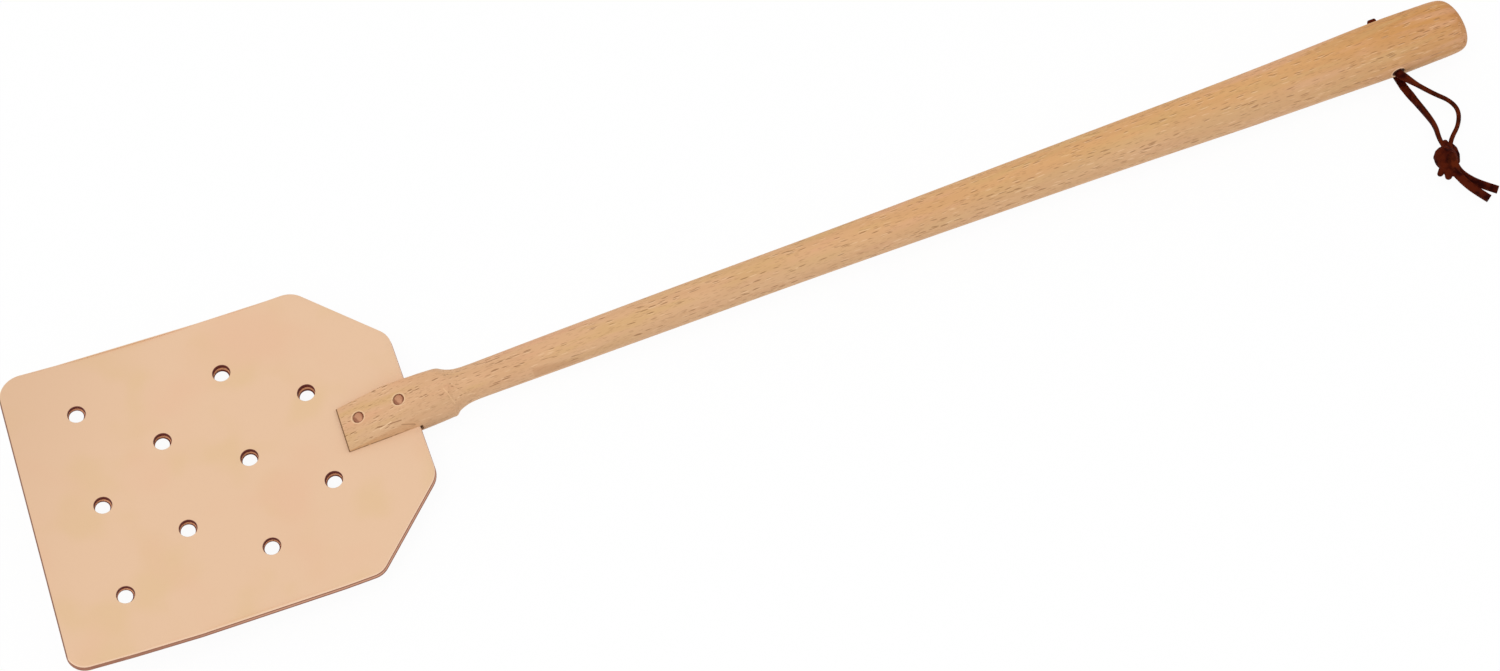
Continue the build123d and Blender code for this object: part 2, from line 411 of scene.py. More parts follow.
@dataclass(frozen=True)
class Layer:
    """A colour that lies over another where a value passes from low to high; low may be the larger one."""

    colour: Colour
    low: float
    high: float
    share: float = 1.0

    def mask(self, net: Net, value: Value) -> Value:
        """How far the value has passed the band, times the layer's share."""
        passed = net.step(value, self.low, self.high)
        return passed if self.share == 1.0 else passed * self.share

    def over(self, net: Net, base: Source, value: Value) -> Value:
        """The layer on a base colour."""
        return net.mix(self.mask(net, value), base, self.colour)


@dataclass(frozen=True)
class Grain:
    """Smooth noise that is drawn out along some axes, by how often it repeats in a millimetre of each."""

    pace: Point3
    detail: float = 2.0
    roughness: float = 0.5

    def on(self, net: Net, place: Value) -> Value:
        """The noise at a place, from 0 to 1."""
        return net.noise(net.stretch(place, self.pace), 1.0, self.detail, self.roughness)


@dataclass(frozen=True)
class Streak:
    """A line on the upper side of the wood: its ends in the plan, its half width, and its colour."""

    start: Point2
    end: Point2
    half_width: float
    colour: Colour
    share: float


@dataclass(frozen=True)
class Beech:
    """Sanded beech: pale neck, warmer grip, short dark pores along the grain and faint growth rings."""

    neck: Colour = srgb(219, 174, 133)
    grip: Layer = Layer(srgb(217, 165, 110), -105.0, 130.0)
    butt: Layer = Layer(srgb(205, 147, 86), 150.0, 215.0)
    # Darker butt end: partly its end grain, partly painted shade of the rounded end.
    end_grain_and_shade: Layer = Layer(srgb(184, 120, 66), 215.0, 222.0, 0.7)
    yellow: Layer = Layer(srgb(210, 170, 112), 0.50, 0.66, 0.5)
    rose: Layer = Layer(srgb(222, 168, 130), 0.48, 0.34, 0.55)
    # Painted light: a paler, pinker tone on the near side that stands for bounce light from the table.
    near_side_bounce_tint: Layer = Layer(srgb(212, 172, 132), -1.0, -7.5)
    # Painted light: the near flank below the axis is lightened, standing for bounce light from the table.
    near_low_painted_bounce: Layer = Layer(srgb(236, 196, 160), 1.0, -2.5)
    near_low_bounce_rise: Point2 = (-102.0, -92.0)
    shade: Colour = srgb(180, 128, 84)
    pore: Colour = srgb(128, 80, 44)
    # Pale colour of the rivets' seat lips, and of the painted highlight beside each pore.
    lip: Colour = srgb(246, 210, 170)
    # Colour of the painted shadow at the cheek's tip and along its near foot, where it meets the leather.
    contact_shadow_colour: Colour = srgb(112, 76, 46)
    # Painted highlight on the lit lip of the lace hole's near mouth.
    mouth_highlight: Layer = Layer(srgb(255, 214, 178), 0.85, 0.5, 0.8)
    # Painted shade inside the lace hole's bore.
    bore: Layer = Layer(srgb(62, 16, 8), 0.25, 0.1, 0.9)

    drift: Grain = Grain((0.012, 0.09, 0.09), 1.0)
    grip_drift: float = 120.0
    butt_drift: float = 40.0
    near_bounce_drift: float = 5.0
    patch: Grain = Grain((0.035, 0.22, 0.22))
    fibre: Grain = Grain((0.09, 3.0, 3.0), 3.0, 0.6)

    pith: Point3 = (0.0, 19.0, -26.0)
    pith_slope: float = 0.055
    ring_pitch: float = 3.1
    ring_wander: Grain = Grain((0.02, 0.12, 0.12))
    ring_sway: float = 2.2

    chains: Grain = Grain((1 / 14.0, 1 / 1.1, 1 / 1.1), 1.0)
    in_chain: Point2 = (0.47, 0.62)
    off_chain: Point2 = (0.66, 0.45)
    pore_pace: Point3 = (1 / 3.9, 1 / 0.48, 1 / 0.48)
    # How far the painted highlight beside each pore is shifted from it.
    pore_highlight_shift: Point3 = (0.12, 0.36, 0.0)
    pore_ripple: Grain = Grain((0.2, 0.6, 0.6), 1.0)
    pore_edge: Point2 = (0.42, 0.24)
    pore_kept: Point2 = (0.18, 0.30)
    fine_shift: Point3 = (13.0, 5.0, 9.0)
    fine_pace: Point3 = (1.6, 1.4, 1.4)

    seat_lip: Point2 = (0.55, 0.1)
    tip_shadow: Point2 = (0.42, 0.24)
    foot_height: Point2 = (0.55, 0.15)
    foot_reach: Point2 = (21.0, 12.0)
    foot_shadow_gaps: Grain = Grain((0.7, 0.0, 0.0))
    streaks: tuple[Streak, ...] = (
        Streak((-119.8, -5.3), (-116.6, -5.9), 0.26, srgb(150, 102, 66), 0.6),
        Streak((-116.6, -5.9), (-112.6, -6.3), 0.24, srgb(140, 92, 58), 0.75),
        Streak((-119.2, -6.2), (-115.6, -5.5), 0.28, srgb(244, 206, 164), 0.7),
        Streak((-112.9, -7.6), (-109.2, -8.2), 0.13, srgb(140, 92, 60), 0.5),
        Streak((-107.4, -9.2), (-102.0, -9.9), 0.24, srgb(156, 108, 74), 0.5),
        Streak((-108.4, -9.6), (-106.9, -9.8), 0.36, srgb(250, 215, 175), 0.8),
        Streak((-97.9, -2.4), (-96.3, -6.6), 0.26, srgb(238, 196, 150), 0.45),
        Streak((-96.0, -8.4), (-95.8, -8.6), 0.40, srgb(246, 206, 162), 0.7),
        Streak((-71.2, -5.2), (-56.5, -6.4), 0.95, srgb(192, 144, 104), 0.5),
    )

    def material(self, handle: "Handle") -> bpy.types.Material:
        """The wood, with its grain along X.

        Args:
            handle: What the near side, the sawn edges, the rivets' seats and the lace hole are taken from.

        Returns:
            The finished material.
        """
        net = ShaderNet("beech")
        place = net.place()
        x, y, z = net.split(place)
        drift = self.drift.on(net, place) - 0.5
        warm = self.grip.mask(net, x + drift * self.grip_drift)
        colour = net.mix(warm, self.neck, self.grip.colour)
        at_butt = self.butt.mask(net, x + drift * self.butt_drift)
        colour = net.mix(at_butt, colour, self.butt.colour)
        # Darker butt end: end grain and painted shade of the rounded end.
        colour = self.end_grain_and_shade.over(net, colour, x)
        patch = self.patch.on(net, place)
        for tint in (self.yellow, self.rose):
            colour = tint.over(net, colour, patch)
        # Painted light: the near side's bounce tint, weaker towards the butt.
        near = self.near_side_bounce_tint.mask(net, y + drift * self.near_bounce_drift)
        colour = net.mix(near * (0.7 - at_butt * 0.45), colour, self.near_side_bounce_tint.colour)
        # Painted light on the lower near flank, below the axis, from the neck on.
        low = self.near_low_painted_bounce.mask(net, z - handle.axis_z / MM) * net.step(y, 0.0, -3.0)
        low = low * net.step(x, *self.near_low_bounce_rise)
        colour = net.mix(low * 0.4, colour, self.near_low_painted_bounce.colour)
        fibre = self.fibre.on(net, place)
        rings = self._rings(net, place)
        colour = net.mix(rings * 0.10 + (fibre - 0.5) * 0.30 + 0.02, colour, self.shade)
        chains = self.chains.on(net, place) + warm * 0.05
        kept = net.step(chains, *self.in_chain)
        pores = self._pores(net, place, kept)
        # Painted highlight: a pale copy of each dash, shifted beside it.
        pore_highlights = self._pores(net, net.shift(place, self.pore_highlight_shift), kept)
        fine = net.stretch(net.shift(place, self.fine_shift), self.fine_pace)
        small = self._pores(net, fine, net.step(chains, *self.off_chain))
        colour = net.mix(pore_highlights * 0.35, colour, self.lip)
        colour = net.mix(pores * (0.64 - warm * 0.14) + small * 0.22, colour, self.pore)
        # Painted shadow at the cheek's tip and near foot.
        colour = self._painted_contact_shadows(net, colour, place, handle)
        colour = self._seats_and_hole(net, colour, place, handle)
        colour = self._streaked(net, colour, place, handle)
        return net.surface(
            {
                "Base Color": colour,
                "Roughness": 0.55 + pores * 0.2 + fibre * 0.08,
                "Normal": net.relief(0.8 - pores * 0.8 - small * 0.3 + fibre * 0.2, 0.00004),
                "Specular IOR Level": 0.2,
            }
        )

    def _rings(self, net: Net, place: Value) -> Value:
        """The darker late wood of the growth rings, which run round a pith that slants below the handle.

        Args:
            net: The wood's tree.
            place: Coordinates in millimetres.

        Returns:
            1 in the middle of the late wood and 0 in the early wood.
        """
        x, y, z = net.split(place)
        radius = net.hypotenuse(y - self.pith[1], z - self.pith[2] - x * self.pith_slope)
        wander = self.ring_wander.on(net, place) * self.ring_sway
        wave = net.calc("SINE", (radius / self.ring_pitch + wander) * (2 * math.pi))
        return net.step(wave, -0.4, 1.0)

    def _pores(self, net: Net, place: Value, kept: Value) -> Value:
        """Thin dashes along the grain, in chains.

        Args:
            net: The wood's tree.
            place: Coordinates in millimetres.
            kept: 1 where a chain of dashes runs and 0 between chains.

        Returns:
            1 in the middle of a dash and 0 between dashes.
        """
        ripple = self.pore_ripple.on(net, place)
        bent = net.shift(net.stretch(place, self.pore_pace), net.vector(0.0, ripple * 1.6, ripple * 1.1))
        spots = net.node("ShaderNodeTexVoronoi", None, {"Vector": bent, "Scale": 1.0})
        red, _, _ = net.split(spots.output("Color"))
        dash = net.step(spots.output("Distance"), *self.pore_edge)
        return dash * net.step(red, *self.pore_kept) * kept

    def _painted_contact_shadows(self, net: Net, colour: Value, place: Value, handle: "Handle") -> Value:
        """Adds painted shadow as dark lines at the tip of the upper cheek and along its near foot, broken up
        by noise.

        Args:
            net: The wood's tree.
            colour: The wood so far.
            place: Coordinates in millimetres.
            handle: Where the tip and the saw cut are.

        Returns:
            The colour with both lines.
        """
        x, y, z = net.split(place)
        behind = x - handle.tip_x / MM
        above = z - (handle.leather_z + handle.saw_width / 2) / MM
        # Painted shadow along the near foot of the cheek, just above the leather.
        foot = net.step(above, *self.foot_height) * net.step(behind, *self.foot_reach)
        foot = foot * net.step(y, -1.0, -3.0) * net.step(self.foot_shadow_gaps.on(net, place), 0.30, 0.50)
        share = net.calc("MAXIMUM", net.step(behind, *self.tip_shadow) * 0.9, foot * 0.75)
        return net.mix(share, colour, self.contact_shadow_colour)

    def _seats_and_hole(self, net: Net, colour: Value, place: Value, handle: "Handle") -> Value:
        """Adds the pale lips of the rivets' seats, a painted highlight on the lit lip of the lace hole and
        painted shade in its bore.

        Args:
            net: The wood's tree.
            colour: The wood so far.
            place: Coordinates in millimetres.
            handle: Where the seats and the hole are.

        Returns:
            The colour with the lips and the bore.
        """
        x, y, z = net.split(place)
        for behind in handle.rivet_places:
            centre = ((handle.tip_x + behind) / MM, handle.rivet_side / MM)
            gap = net.hypotenuse(x - centre[0], y - centre[1]) - handle.seat_radius / MM
            colour = net.mix(net.step(gap, *self.seat_lip) * 0.5, colour, self.lip)
        across, up = x - handle.hole_x / MM, z - handle.hole_z / MM
        mouth = net.hypotenuse(across, up) - handle.lace_hole_radius / MM
        # Painted highlight on the lit side of the mouth, then painted shade in the bore.
        lit = net.step(across - up * 0.6, 1.6, -0.4) * net.step(y, 0.0, -1.0)
        colour = net.mix(self.mouth_highlight.mask(net, mouth) * lit, colour, self.mouth_highlight.colour)
        return self.bore.over(net, colour, mouth)

    def _streaked(self, net: Net, colour: Value, place: Value, handle: "Handle") -> Value:
        """Adds the streaks to the upper side.

        Args:
            net: The wood's tree.
            colour: The wood so far.
            place: Coordinates in millimetres.
            handle: How high its axis is.

        Returns:
            The colour with the streaks.
        """
        x, y, z = net.split(place)
        axis = handle.axis_z / MM
        upper = net.step(z, axis - 1.0, axis)
        for streak in self.streaks:
            gap = self._distance(net, x, y, streak)
            shape = net.step(gap, streak.half_width, streak.half_width * 0.35)
            colour = net.mix(shape * upper * streak.share, colour, streak.colour)
        return colour

    @staticmethod
    def _distance(net: Net, x: Value, y: Value, streak: Streak) -> Value:
        """Distance in the plan from the middle line of a streak.

        Args:
            net: The wood's tree.
            x: Place along the handle, in millimetres.
            y: Place across it.
            streak: The streak.

        Returns:
            The distance in millimetres.
        """
        (left, front), (right, back) = streak.start, streak.end
        run = (right - left, back - front)
        across, along = x - left, y - front
        share = (across * run[0] + along * run[1]) * (1 / (run[0] ** 2 + run[1] ** 2))
        share = net.calc("MINIMUM", net.calc("MAXIMUM", share, 0.0), 1.0)
        return net.hypotenuse(across - share * run[0], along - share * run[1])


class LeatherSide(Enum):
    """The three surfaces of cut leather, by the names of their finishes."""

    GRAIN = "leather_grain_side"
    CUT = "leather_cut_edge"
    FLESH = "leather_flesh_side"


@dataclass(frozen=True)
class TannedLeather:
    """Undyed vegetable-tanned leather, in coordinates of the flat hide before it was bent.

    Depths are measured up from the middle of the hide, whose grain side is 1.5 mm above it.
    """

    grain: Colour = srgb(229, 191, 157)
    grain_yellow: Layer = Layer(srgb(226, 189, 149), 0.48, 0.68)
    grain_rose: Layer = Layer(srgb(229, 187, 153), 0.50, 0.72)
    grain_shaded: Layer = Layer(srgb(220, 181, 147), -190.0, -255.0, 0.75)
    shaded_slant: float = 0.6
    # Painted highlight on the rounded upper rim of the grain side.
    rim: Layer = Layer(srgb(246, 210, 180), 1.5, 1.25, 0.9)
    # A dark line along the free edge of the grain side.
    free_edge_dark_line: Layer = Layer(srgb(112, 66, 50), 0.40, 0.20, 0.9)
    free_edge: float = -223.7
    free_edge_slant: float = 0.0041
    blotch_pace: float = 0.045
    rose_pace: float = 0.03
    rose_shift: Point3 = (70.0, 20.0, 0.0)
    pebble_pace: float = 2.1
    speck_pace: float = 1.1
    speck: Layer = Layer(srgb(170, 118, 94), 0.13, 0.05)
    speck_share: float = 0.12

    cut: Colour = srgb(170, 118, 94)
    cut_dark: Layer = Layer(srgb(140, 85, 66), 0.42, 0.68, 0.75)
    split: Layer = Layer(srgb(140, 85, 66), -215.0, -160.0, 0.6)
    cut_pale: Layer = Layer(srgb(190, 146, 122), -1.15, -1.5, 0.6)
    core: Layer = Layer(srgb(216, 164, 134), 0.55, 0.3, 0.9)
    core_depth: float = -0.1
    layers: Grain = Grain((0.35, 0.35, 2.6), 3.0, 0.6)
    fuzz_pace: float = 3.0
    punched: Colour = srgb(250, 184, 138)
    # Painted shade in the punched holes: on their rims, and on their walls above and below the pale layer.
    punched_shade: Layer = Layer(srgb(112, 46, 36), 0.25, 0.6)
    punched_rim: Point2 = (1.48, 1.38)
    pale_layer: float = -0.4

    flesh: Colour = srgb(214, 174, 140)
    flesh_dark: Colour = srgb(188, 142, 108)
    nap: Grain = Grain((0.9, 1.6, 1.0), 4.0, 0.65)
    cloud_pace: float = 0.06

    def material(self, side: LeatherSide) -> bpy.types.Material:
        """The finish of one side of the leather.

        Args:
            side: Which side.

        Returns:
            The finished material.
        """
        net = ShaderNet(side.value)
        flat = net.stretch(net.attribute("flat"), (1 / MM,) * 3)
        finishes = {
            LeatherSide.GRAIN: self._grain_side,
            LeatherSide.CUT: self._cut_edge,
            LeatherSide.FLESH: self._flesh_side,
        }
        return net.surface(finishes[side](net, flat))

    def _grain_side(self, net: ShaderNet, flat: Value) -> dict[str, Source]:
        """Smooth, pale and slightly blotchy, with fine pores, a dark line along the free edge, a painted
        highlight on its rounded rim and painted shade on the rims of the punched holes.

        Args:
            net: The tree.
            flat: Coordinates on the flat hide, as in the other two finishes.

        Returns:
            What goes into the shader's sockets.
        """
        blotch = net.noise(flat, self.blotch_pace)
        rose = net.noise(net.shift(flat, self.rose_shift), self.rose_pace)
        colour = self.grain_yellow.over(net, self.grain, blotch)
        colour = self.grain_rose.over(net, colour, rose)
        sockets = {"Vector": flat, "Scale": self.pebble_pace}
        pebble = net.node("ShaderNodeTexVoronoi", {"feature": "SMOOTH_F1"}, sockets)
        sockets = {"Vector": flat, "Scale": self.speck_pace}
        speck = self.speck.mask(net, net.node("ShaderNodeTexVoronoi", None, sockets).output("Distance"))
        colour = net.mix(speck * self.speck_share, colour, self.speck.colour)
        along, side, depth = net.split(flat)
        colour = self.grain_shaded.over(net, colour, along - side * self.shaded_slant)
        # Painted highlight on the rounded rim.
        colour = self.rim.over(net, colour, depth)
        colour = self.free_edge_dark_line.over(net, colour, along - side * self.free_edge_slant - self.free_edge)
        in_hole, _, _ = net.split(net.attribute("punched"))
        # Painted shade on the rims of the punched holes.
        hole_rim_shade = in_hole * net.step(depth, *self.punched_rim)
        height = 0.5 + net.noise(flat, 1.6, 3.0) * 0.3 + pebble * 0.2 - speck * 0.3
        return {
            "Base Color": net.mix(hole_rim_shade, colour, self.punched_shade.colour),
            "Roughness": 0.52 + blotch * 0.10,
            "Normal": net.relief(height, 0.00003),
            "Specular IOR Level": 0.35,
        }

    def _cut_edge(self, net: ShaderNet, flat: Value) -> dict[str, Source]:
        """Reddish brown fibres in thin layers, darkest near the underside, with painted shade on the punched
        holes' walls above and below a pale middle layer.
        """
        along, _, depth = net.split(flat)
        layers = self.layers.on(net, flat)
        fuzz = net.noise(flat, self.fuzz_pace)
        stray = fuzz - 0.5
        colour = self.cut_dark.over(net, self.cut, layers)
        colour = self.cut_pale.over(net, colour, depth + stray * 0.3)
        split = net.step(along, self.split.low, self.split.high)
        colour = net.mix(split * self.split.share, colour, self.split.colour)
        core = self.core.mask(net, net.calc("ABSOLUTE", depth - self.core_depth + stray * 0.3))
        colour = net.mix(core * split, colour, self.core.colour)
        strata = net.calc("ABSOLUTE", depth - self.pale_layer + stray * 0.5)
        # Painted shade on the holes' walls, round the pale middle layer of the leather.
        in_hole, _, _ = net.split(net.attribute("punched"))
        return {
            "Base Color": net.mix(in_hole, colour, self.punched_shade.over(net, self.punched, strata)),
            "Roughness": 0.72,
            "Normal": net.relief(layers * 0.7 + fuzz * 0.3, 0.00012),
            "Specular IOR Level": 0.2,
        }

    def _flesh_side(self, net: ShaderNet, flat: Value) -> dict[str, Source]:
        """The napped underside."""
        nap = self.nap.on(net, flat)
        cloud = net.noise(flat, self.cloud_pace)
        return {
            "Base Color": net.mix(nap * 0.6 + cloud * 0.4 - 0.15, self.flesh, self.flesh_dark),
            "Roughness": 0.85,
            "Normal": net.relief(nap, 0.00015),
            "Specular IOR Level": 0.15,
        }


@dataclass(frozen=True)
class Copper:
    """Hammered copper with a dull ring round the rim, partly patina and partly painted shade of its recess,
    lifted on one side, painted shade along a diagonal groove and a painted highlight on a diagonal facet.
    """

    bright: Colour = srgb(184, 126, 92)
    # Painted highlight along a diagonal facet.
    facet_highlight: Layer = Layer(srgb(198, 146, 112), 0.75, 0.2, 0.6)
    # Dull rim: partly patina, partly painted shade of the recess.
    dull_rim_and_shade: Layer = Layer(srgb(120, 58, 32), 0.66, 0.95)
    # Painted shade along a diagonal groove.
    groove_shade: Point2 = (-0.25, -0.55)
    # Side of the rim where its painted shade is lifted, standing for light.
    worn: Point2 = (0.55, 0.95)
    grime_pace: float = 1.3
    scuff_pace: float = 3.4

    def material(self) -> bpy.types.Material:
        """The metal; the rim attribute is the place across the head, with its reach from the middle first."""
        net = ShaderNet("copper")
        place = net.place()
        reach, along, side = net.split(net.attribute("rim"))
        grime = net.noise(place, self.grime_pace)
        slant = along * 0.86 + side * 0.5 + (grime - 0.5) * 0.5
        # Dull rim: partly patina, partly painted shade of the recess.
        ring = self.dull_rim_and_shade.mask(net, reach + (grime - 0.5) * 0.3)
        # The rim's painted shade is lifted on one side, as if lit.
        worn = net.step(along * 0.35 - side * 0.9, *self.worn)
        # Painted shade along a diagonal groove.
        groove_shade = net.step(slant, *self.groove_shade) * 0.7
        shade = net.calc("MAXIMUM", ring * (1.0 - worn * 0.8), groove_shade)
        colour = self.facet_highlight.over(net, self.bright, slant)
        return net.surface(
            {
                "Base Color": net.mix(shade * 0.9 + (grime - 0.5) * 0.3, colour, self.dull_rim_and_shade.colour),
                "Metallic": 0.35 - shade * 0.2,
                "Roughness": 0.50 + grime * 0.15 + shade * 0.2,
                "Normal": net.relief(net.noise(place, self.scuff_pace), 0.00003),
            }
        )


@dataclass(frozen=True)
class DarkLace:
    """Waxed dark leather lace, redder along its edges, with a painted highlight over the knot's lower right.
    """

    core: Colour = srgb(66, 14, 7)
    deep: Layer = Layer(srgb(34, 6, 4), 0.35, 0.75)
    # Redder colour along the lace's edges; on the knot it is a painted highlight.
    worn: Layer = Layer(srgb(104, 42, 14), 0.72, 1.05, 0.25)
    worn_cloud: Point2 = (0.62, 0.40)
    cloud_pace: float = 0.35
    grain_pace: float = 2.2

    def material(self) -> bpy.types.Material:
        """The lace's finish; the edge attribute is 1 along its two edges, and on the knot it carries the
        share of a painted highlight.
        """
        net = ShaderNet("dark_lace")
        place = net.place()
        edge, _, _ = net.split(net.attribute("edge"))
        cloud = net.noise(place, self.cloud_pace)
        grain = net.noise(place, self.grain_pace, 3.0, 0.6)
        colour = self.deep.over(net, self.core, cloud)
        worn = self.worn.mask(net, edge + (grain - 0.5) * 0.5) + net.step(cloud, *self.worn_cloud) * 0.3
        return net.surface(
            {
                "Base Color": net.mix(worn, colour, self.worn.colour),
                "Roughness": 0.5 + grain * 0.25,
                "Normal": net.relief(grain, 0.00006),
                "Specular IOR Level": 0.2,
                "IOR": 1.12,
            }
        )


# ---- Handle ------------------------------------------------------------------


@dataclass
class Handle:
    """The turned handle with its sawn wedge, its rivet seats and its lace hole.

    The outline's points are a distance behind the tip of the cheeks and a radius. A pair gives the start and
    the end of the stretch over which a feature comes or goes.
    """

    length: float = 0.353
    grip_radius: float = 0.0088
    outline: tuple[Point2, ...] = (
        (0.0, 0.0081), (0.012, 0.00815), (0.022, 0.0081), (0.0292, 0.00785), (0.0317, 0.0076),
        (0.0328, 0.00718), (0.0337, 0.0066), (0.0350, 0.0061), (0.0369, 0.0056), (0.0395, 0.00536),
        (0.046, 0.00536), (0.060, 0.0055), (0.100, 0.00574), (0.154, 0.00597), (0.207, 0.00662),
        (0.261, 0.00742), (0.305, 0.00828), (0.329, 0.0088), (0.341, 0.00866), (0.3476, 0.0084),
        (0.3499, 0.0077), (0.3512, 0.0060), (0.3519, 0.0034), (0.3522, 0.0002),
    )
    coarse_step: float = 0.0018
    fine_step: float = 0.00035
    fine_tip: float = 0.001
    round_hole: float = 0.02
    shoulder: Point2 = (0.0285, 0.040)
    flat_run_out: Point2 = (0.003, 0.012)
    valley: float = 0.0335
    valley_reach: float = 0.0016
    far_fill: float = 0.0002
    near_corner: float = 0.0324
    near_corner_reach: float = 0.0008
    near_lip: float = 0.0004
    bow: float = 0.0003
    bow_middle: float = 0.283
    bow_length: float = 0.032
    rounded_end: float = 0.344
    butt_skew: float = 0.14
    skew_rise: Point2 = (-0.002, 0.006)
    shoulder_lean: float = 0.0007
    lean_rise: Point2 = (-0.004, 0.002)
    lean_fall: Point2 = (-0.004, 0.004)
    tip_lean: float = 0.0007
    tip_lean_length: float = 0.130
    cheek_tip: float = 0.0008
    cheek_slope: float = 8.25
    saw_drop: float = 0.0005
    saw_width: float = 0.0030
    saw_depth: float = 0.0227
    planed_tip: float = 0.0065
    planed_length: float = 0.030
    planed_end: float = 0.0080
    edge_rounding: float = 0.00035
    rivet_places: tuple[float, ...] = (0.0056, 0.0185)
    rivet_side: float = 0.00035
    seat_radius: float = 0.0018
    seat_depth: float = 0.0005
    lace_hole_from_butt: float = 0.024
    lace_hole_radius: float = 0.0017
    lace_hole_drop: float = 0.0004
    mouth_chamfer: float = 0.0004
    mouth_cone: float = 0.003
    cutter_sides: int = 48
    narrow_flat: float = math.radians(1.5)
    round_half: float = math.radians(35)
    side_steps: int = 14
    gap_steps: int = 6
    flat_steps: int = 26
    tip_x: float = field(init=False)
    axis_z: float = field(init=False)
    leather_z: float = field(init=False)
    hole_x: float = field(init=False)
    hole_z: float = field(init=False)

    def __post_init__(self) -> None:
        """Takes the handle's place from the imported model."""
        _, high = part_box("handle")
        self.tip_x = high.x - self.length
        self.axis_z = high.z - self.grip_radius
        self.leather_z = self.axis_z - self.saw_drop
        self.hole_x = high.x - self.lace_hole_from_butt
        self.hole_z = self.axis_z - self.lace_hole_drop

    def flat_height(self, behind_tip: float) -> float:
        """Height of the wedge's flats above or below the middle of the leather."""
        slope = math.tan(math.radians(self.cheek_slope))
        return self.saw_width / 2 + self.cheek_tip + behind_tip * slope

    def seat_turn(self, up: int) -> float:
        """Turn about Y that points a tool out of the upper flat (1) or of the lower one (-1)."""
        return math.radians(-self.cheek_slope if up == 1 else 180 + self.cheek_slope)

    @staticmethod
    def _past(behind: float, start: float, stretch: Point2) -> float:
        """0 before a stretch and 1 past it, where both of its ends are measured from start."""
        return ease(behind, start + stretch[0], start + stretch[1])

    def rings(self) -> Iterator[tuple[float, float]]:
        """Distance behind the tip and radius of each ring of the turned shape."""
        knots = np.array(self.outline)
        before = 2 * knots[0] - knots[1]
        after = np.array([knots[-1][0], -knots[-2][1]])
        chain = np.vstack([before, knots, after])
        hole = self.length - self.lace_hole_from_butt
        for a, b, c, d in zip(chain, chain[1:], chain[2:], chain[3:]):
            at_shoulder = self.shoulder[0] <= b[0] < self.shoulder[1]
            fine = at_shoulder or b[0] > self.rounded_end or b[0] < self.fine_tip
            near_hole = abs((b[0] + c[0]) / 2 - hole) < self.round_hole
            step = self.fine_step if fine else self.coarse_step / (2 if near_hole else 1)
            count = max(1, math.ceil(np.linalg.norm(c - b) / step))
            for t in np.arange(count) / count:
                yield tuple(self._between(a, b, c, d, t))
        yield tuple(knots[-1])

    @staticmethod
    def _between(a: np.ndarray, b: np.ndarray, c: np.ndarray, d: np.ndarray, t: float) -> np.ndarray:
        """A point on the smooth curve from b to c.

        Args:
            a: The point before b, which sets the curve's direction at b.
            b: Where the curve starts.
            c: Where it ends.
            d: The point after c, which sets its direction at c.
            t: How far along the point is, from 0 to 1.

        Returns:
            The point.
        """
        reach = np.linalg.norm(c - b)
        start = (c - a) / np.linalg.norm(c - a) * reach
        end = (d - b) / np.linalg.norm(d - b) * reach
        u = 1 - t
        ends = b * (u * u * (1 + 2 * t)) + start * (t * u * u) + c * (t * t * (3 - 2 * t))
        return ends - end * (t * t * u)

    @staticmethod
    def _side(radius: float, limit: float, low: float, high: float, steps: int) -> np.ndarray:
        """Points up a side of the section.

        Args:
            radius: Radius of the turned shape.
            limit: How far out the points may stand.
            low: Height of the first point.
            high: Height of the last one.
            steps: How many gaps are between them.

        Returns:
            The points, as rows (y, z).
        """
        angles = np.linspace(math.asin(low / radius), math.asin(high / radius), steps + 1)
        across = np.minimum(radius * np.cos(angles), limit)
        return np.column_stack([across, radius * np.sin(angles)])

    def _saw_edge(self, radius: float, up: int) -> float:
        """Height above or below the handle's axis where the saw cut's edge line runs."""
        return min(self.saw_width / 2 - up * self.saw_drop, 0.45 * radius)

    @staticmethod
    def _corner(first: np.ndarray, corner: np.ndarray, last: np.ndarray) -> np.ndarray:
        """Three points that round a corner off between two points beside it."""
        t = np.array([[0.25], [0.5], [0.75]])
        return first * (1 - t) ** 2 + corner * 2 * t * (1 - t) + last * t**2

    def _half(self, behind: float, radius: float, up: int, limits: Point2) -> list[np.ndarray]:
        """One half of a section: near side, corner, flat, corner and far side, each as points (y, z).

        Args:
            behind: Distance behind the tip.
            radius: Radius of the turned shape there.
            up: 1 for the upper half and -1 for the lower one.
            limits: How far the near and the far side may stand out.

        Returns:
            The near side from the saw cut up, and so on to the far side down to the saw cut.
        """
        height = min(self.flat_height(behind) - up * self.saw_drop, radius)
        half = math.acos(height / radius)
        saw = self._saw_edge(radius, up)
        has_flat = half > self.narrow_flat
        if not has_flat:
            stretch = (self.shoulder[0] + self.flat_run_out[0], self.shoulder[1] + self.flat_run_out[1])
            half = self.narrow_flat + (self.round_half - self.narrow_flat) * ease(behind, *stretch)
            height = radius * math.cos(half)
        trim = min(self.edge_rounding, radius * math.sin(half) / 3)
        top = radius * math.sin(math.asin(height / radius) - trim / radius)
        near = self._side(radius, limits[0], saw, top, self.side_steps) * (-1, 1)
        far = self._side(radius, limits[1], saw, top, self.side_steps)[::-1]
        if has_flat:
            ends = [-min(radius * math.sin(half), limits[0]), min(radius * math.sin(half), limits[1])]
            across = np.linspace(ends[0] + trim, ends[1] - trim, self.flat_steps + 1)
            flat = np.column_stack([across, np.full(len(across), height)])
            corners = [
                self._corner(near[-1], np.array([ends[0], height]), flat[0]),
                self._corner(flat[-1], np.array([ends[1], height]), far[0]),
            ]
        else:
            turn = trim / radius
            angles = np.linspace(half - turn, turn - half, self.flat_steps + 1)
            flat = radius * np.column_stack([-np.sin(angles), np.cos(angles)])
            beside = half + turn * np.array([0.5, 0.0, -0.5])
            rounding = radius * np.column_stack([-np.sin(beside), np.cos(beside)])
            corners = [rounding, rounding[::-1] * (-1, 1)]
        return [part * (1, up) for part in (near, corners[0], flat, corners[1], far)]

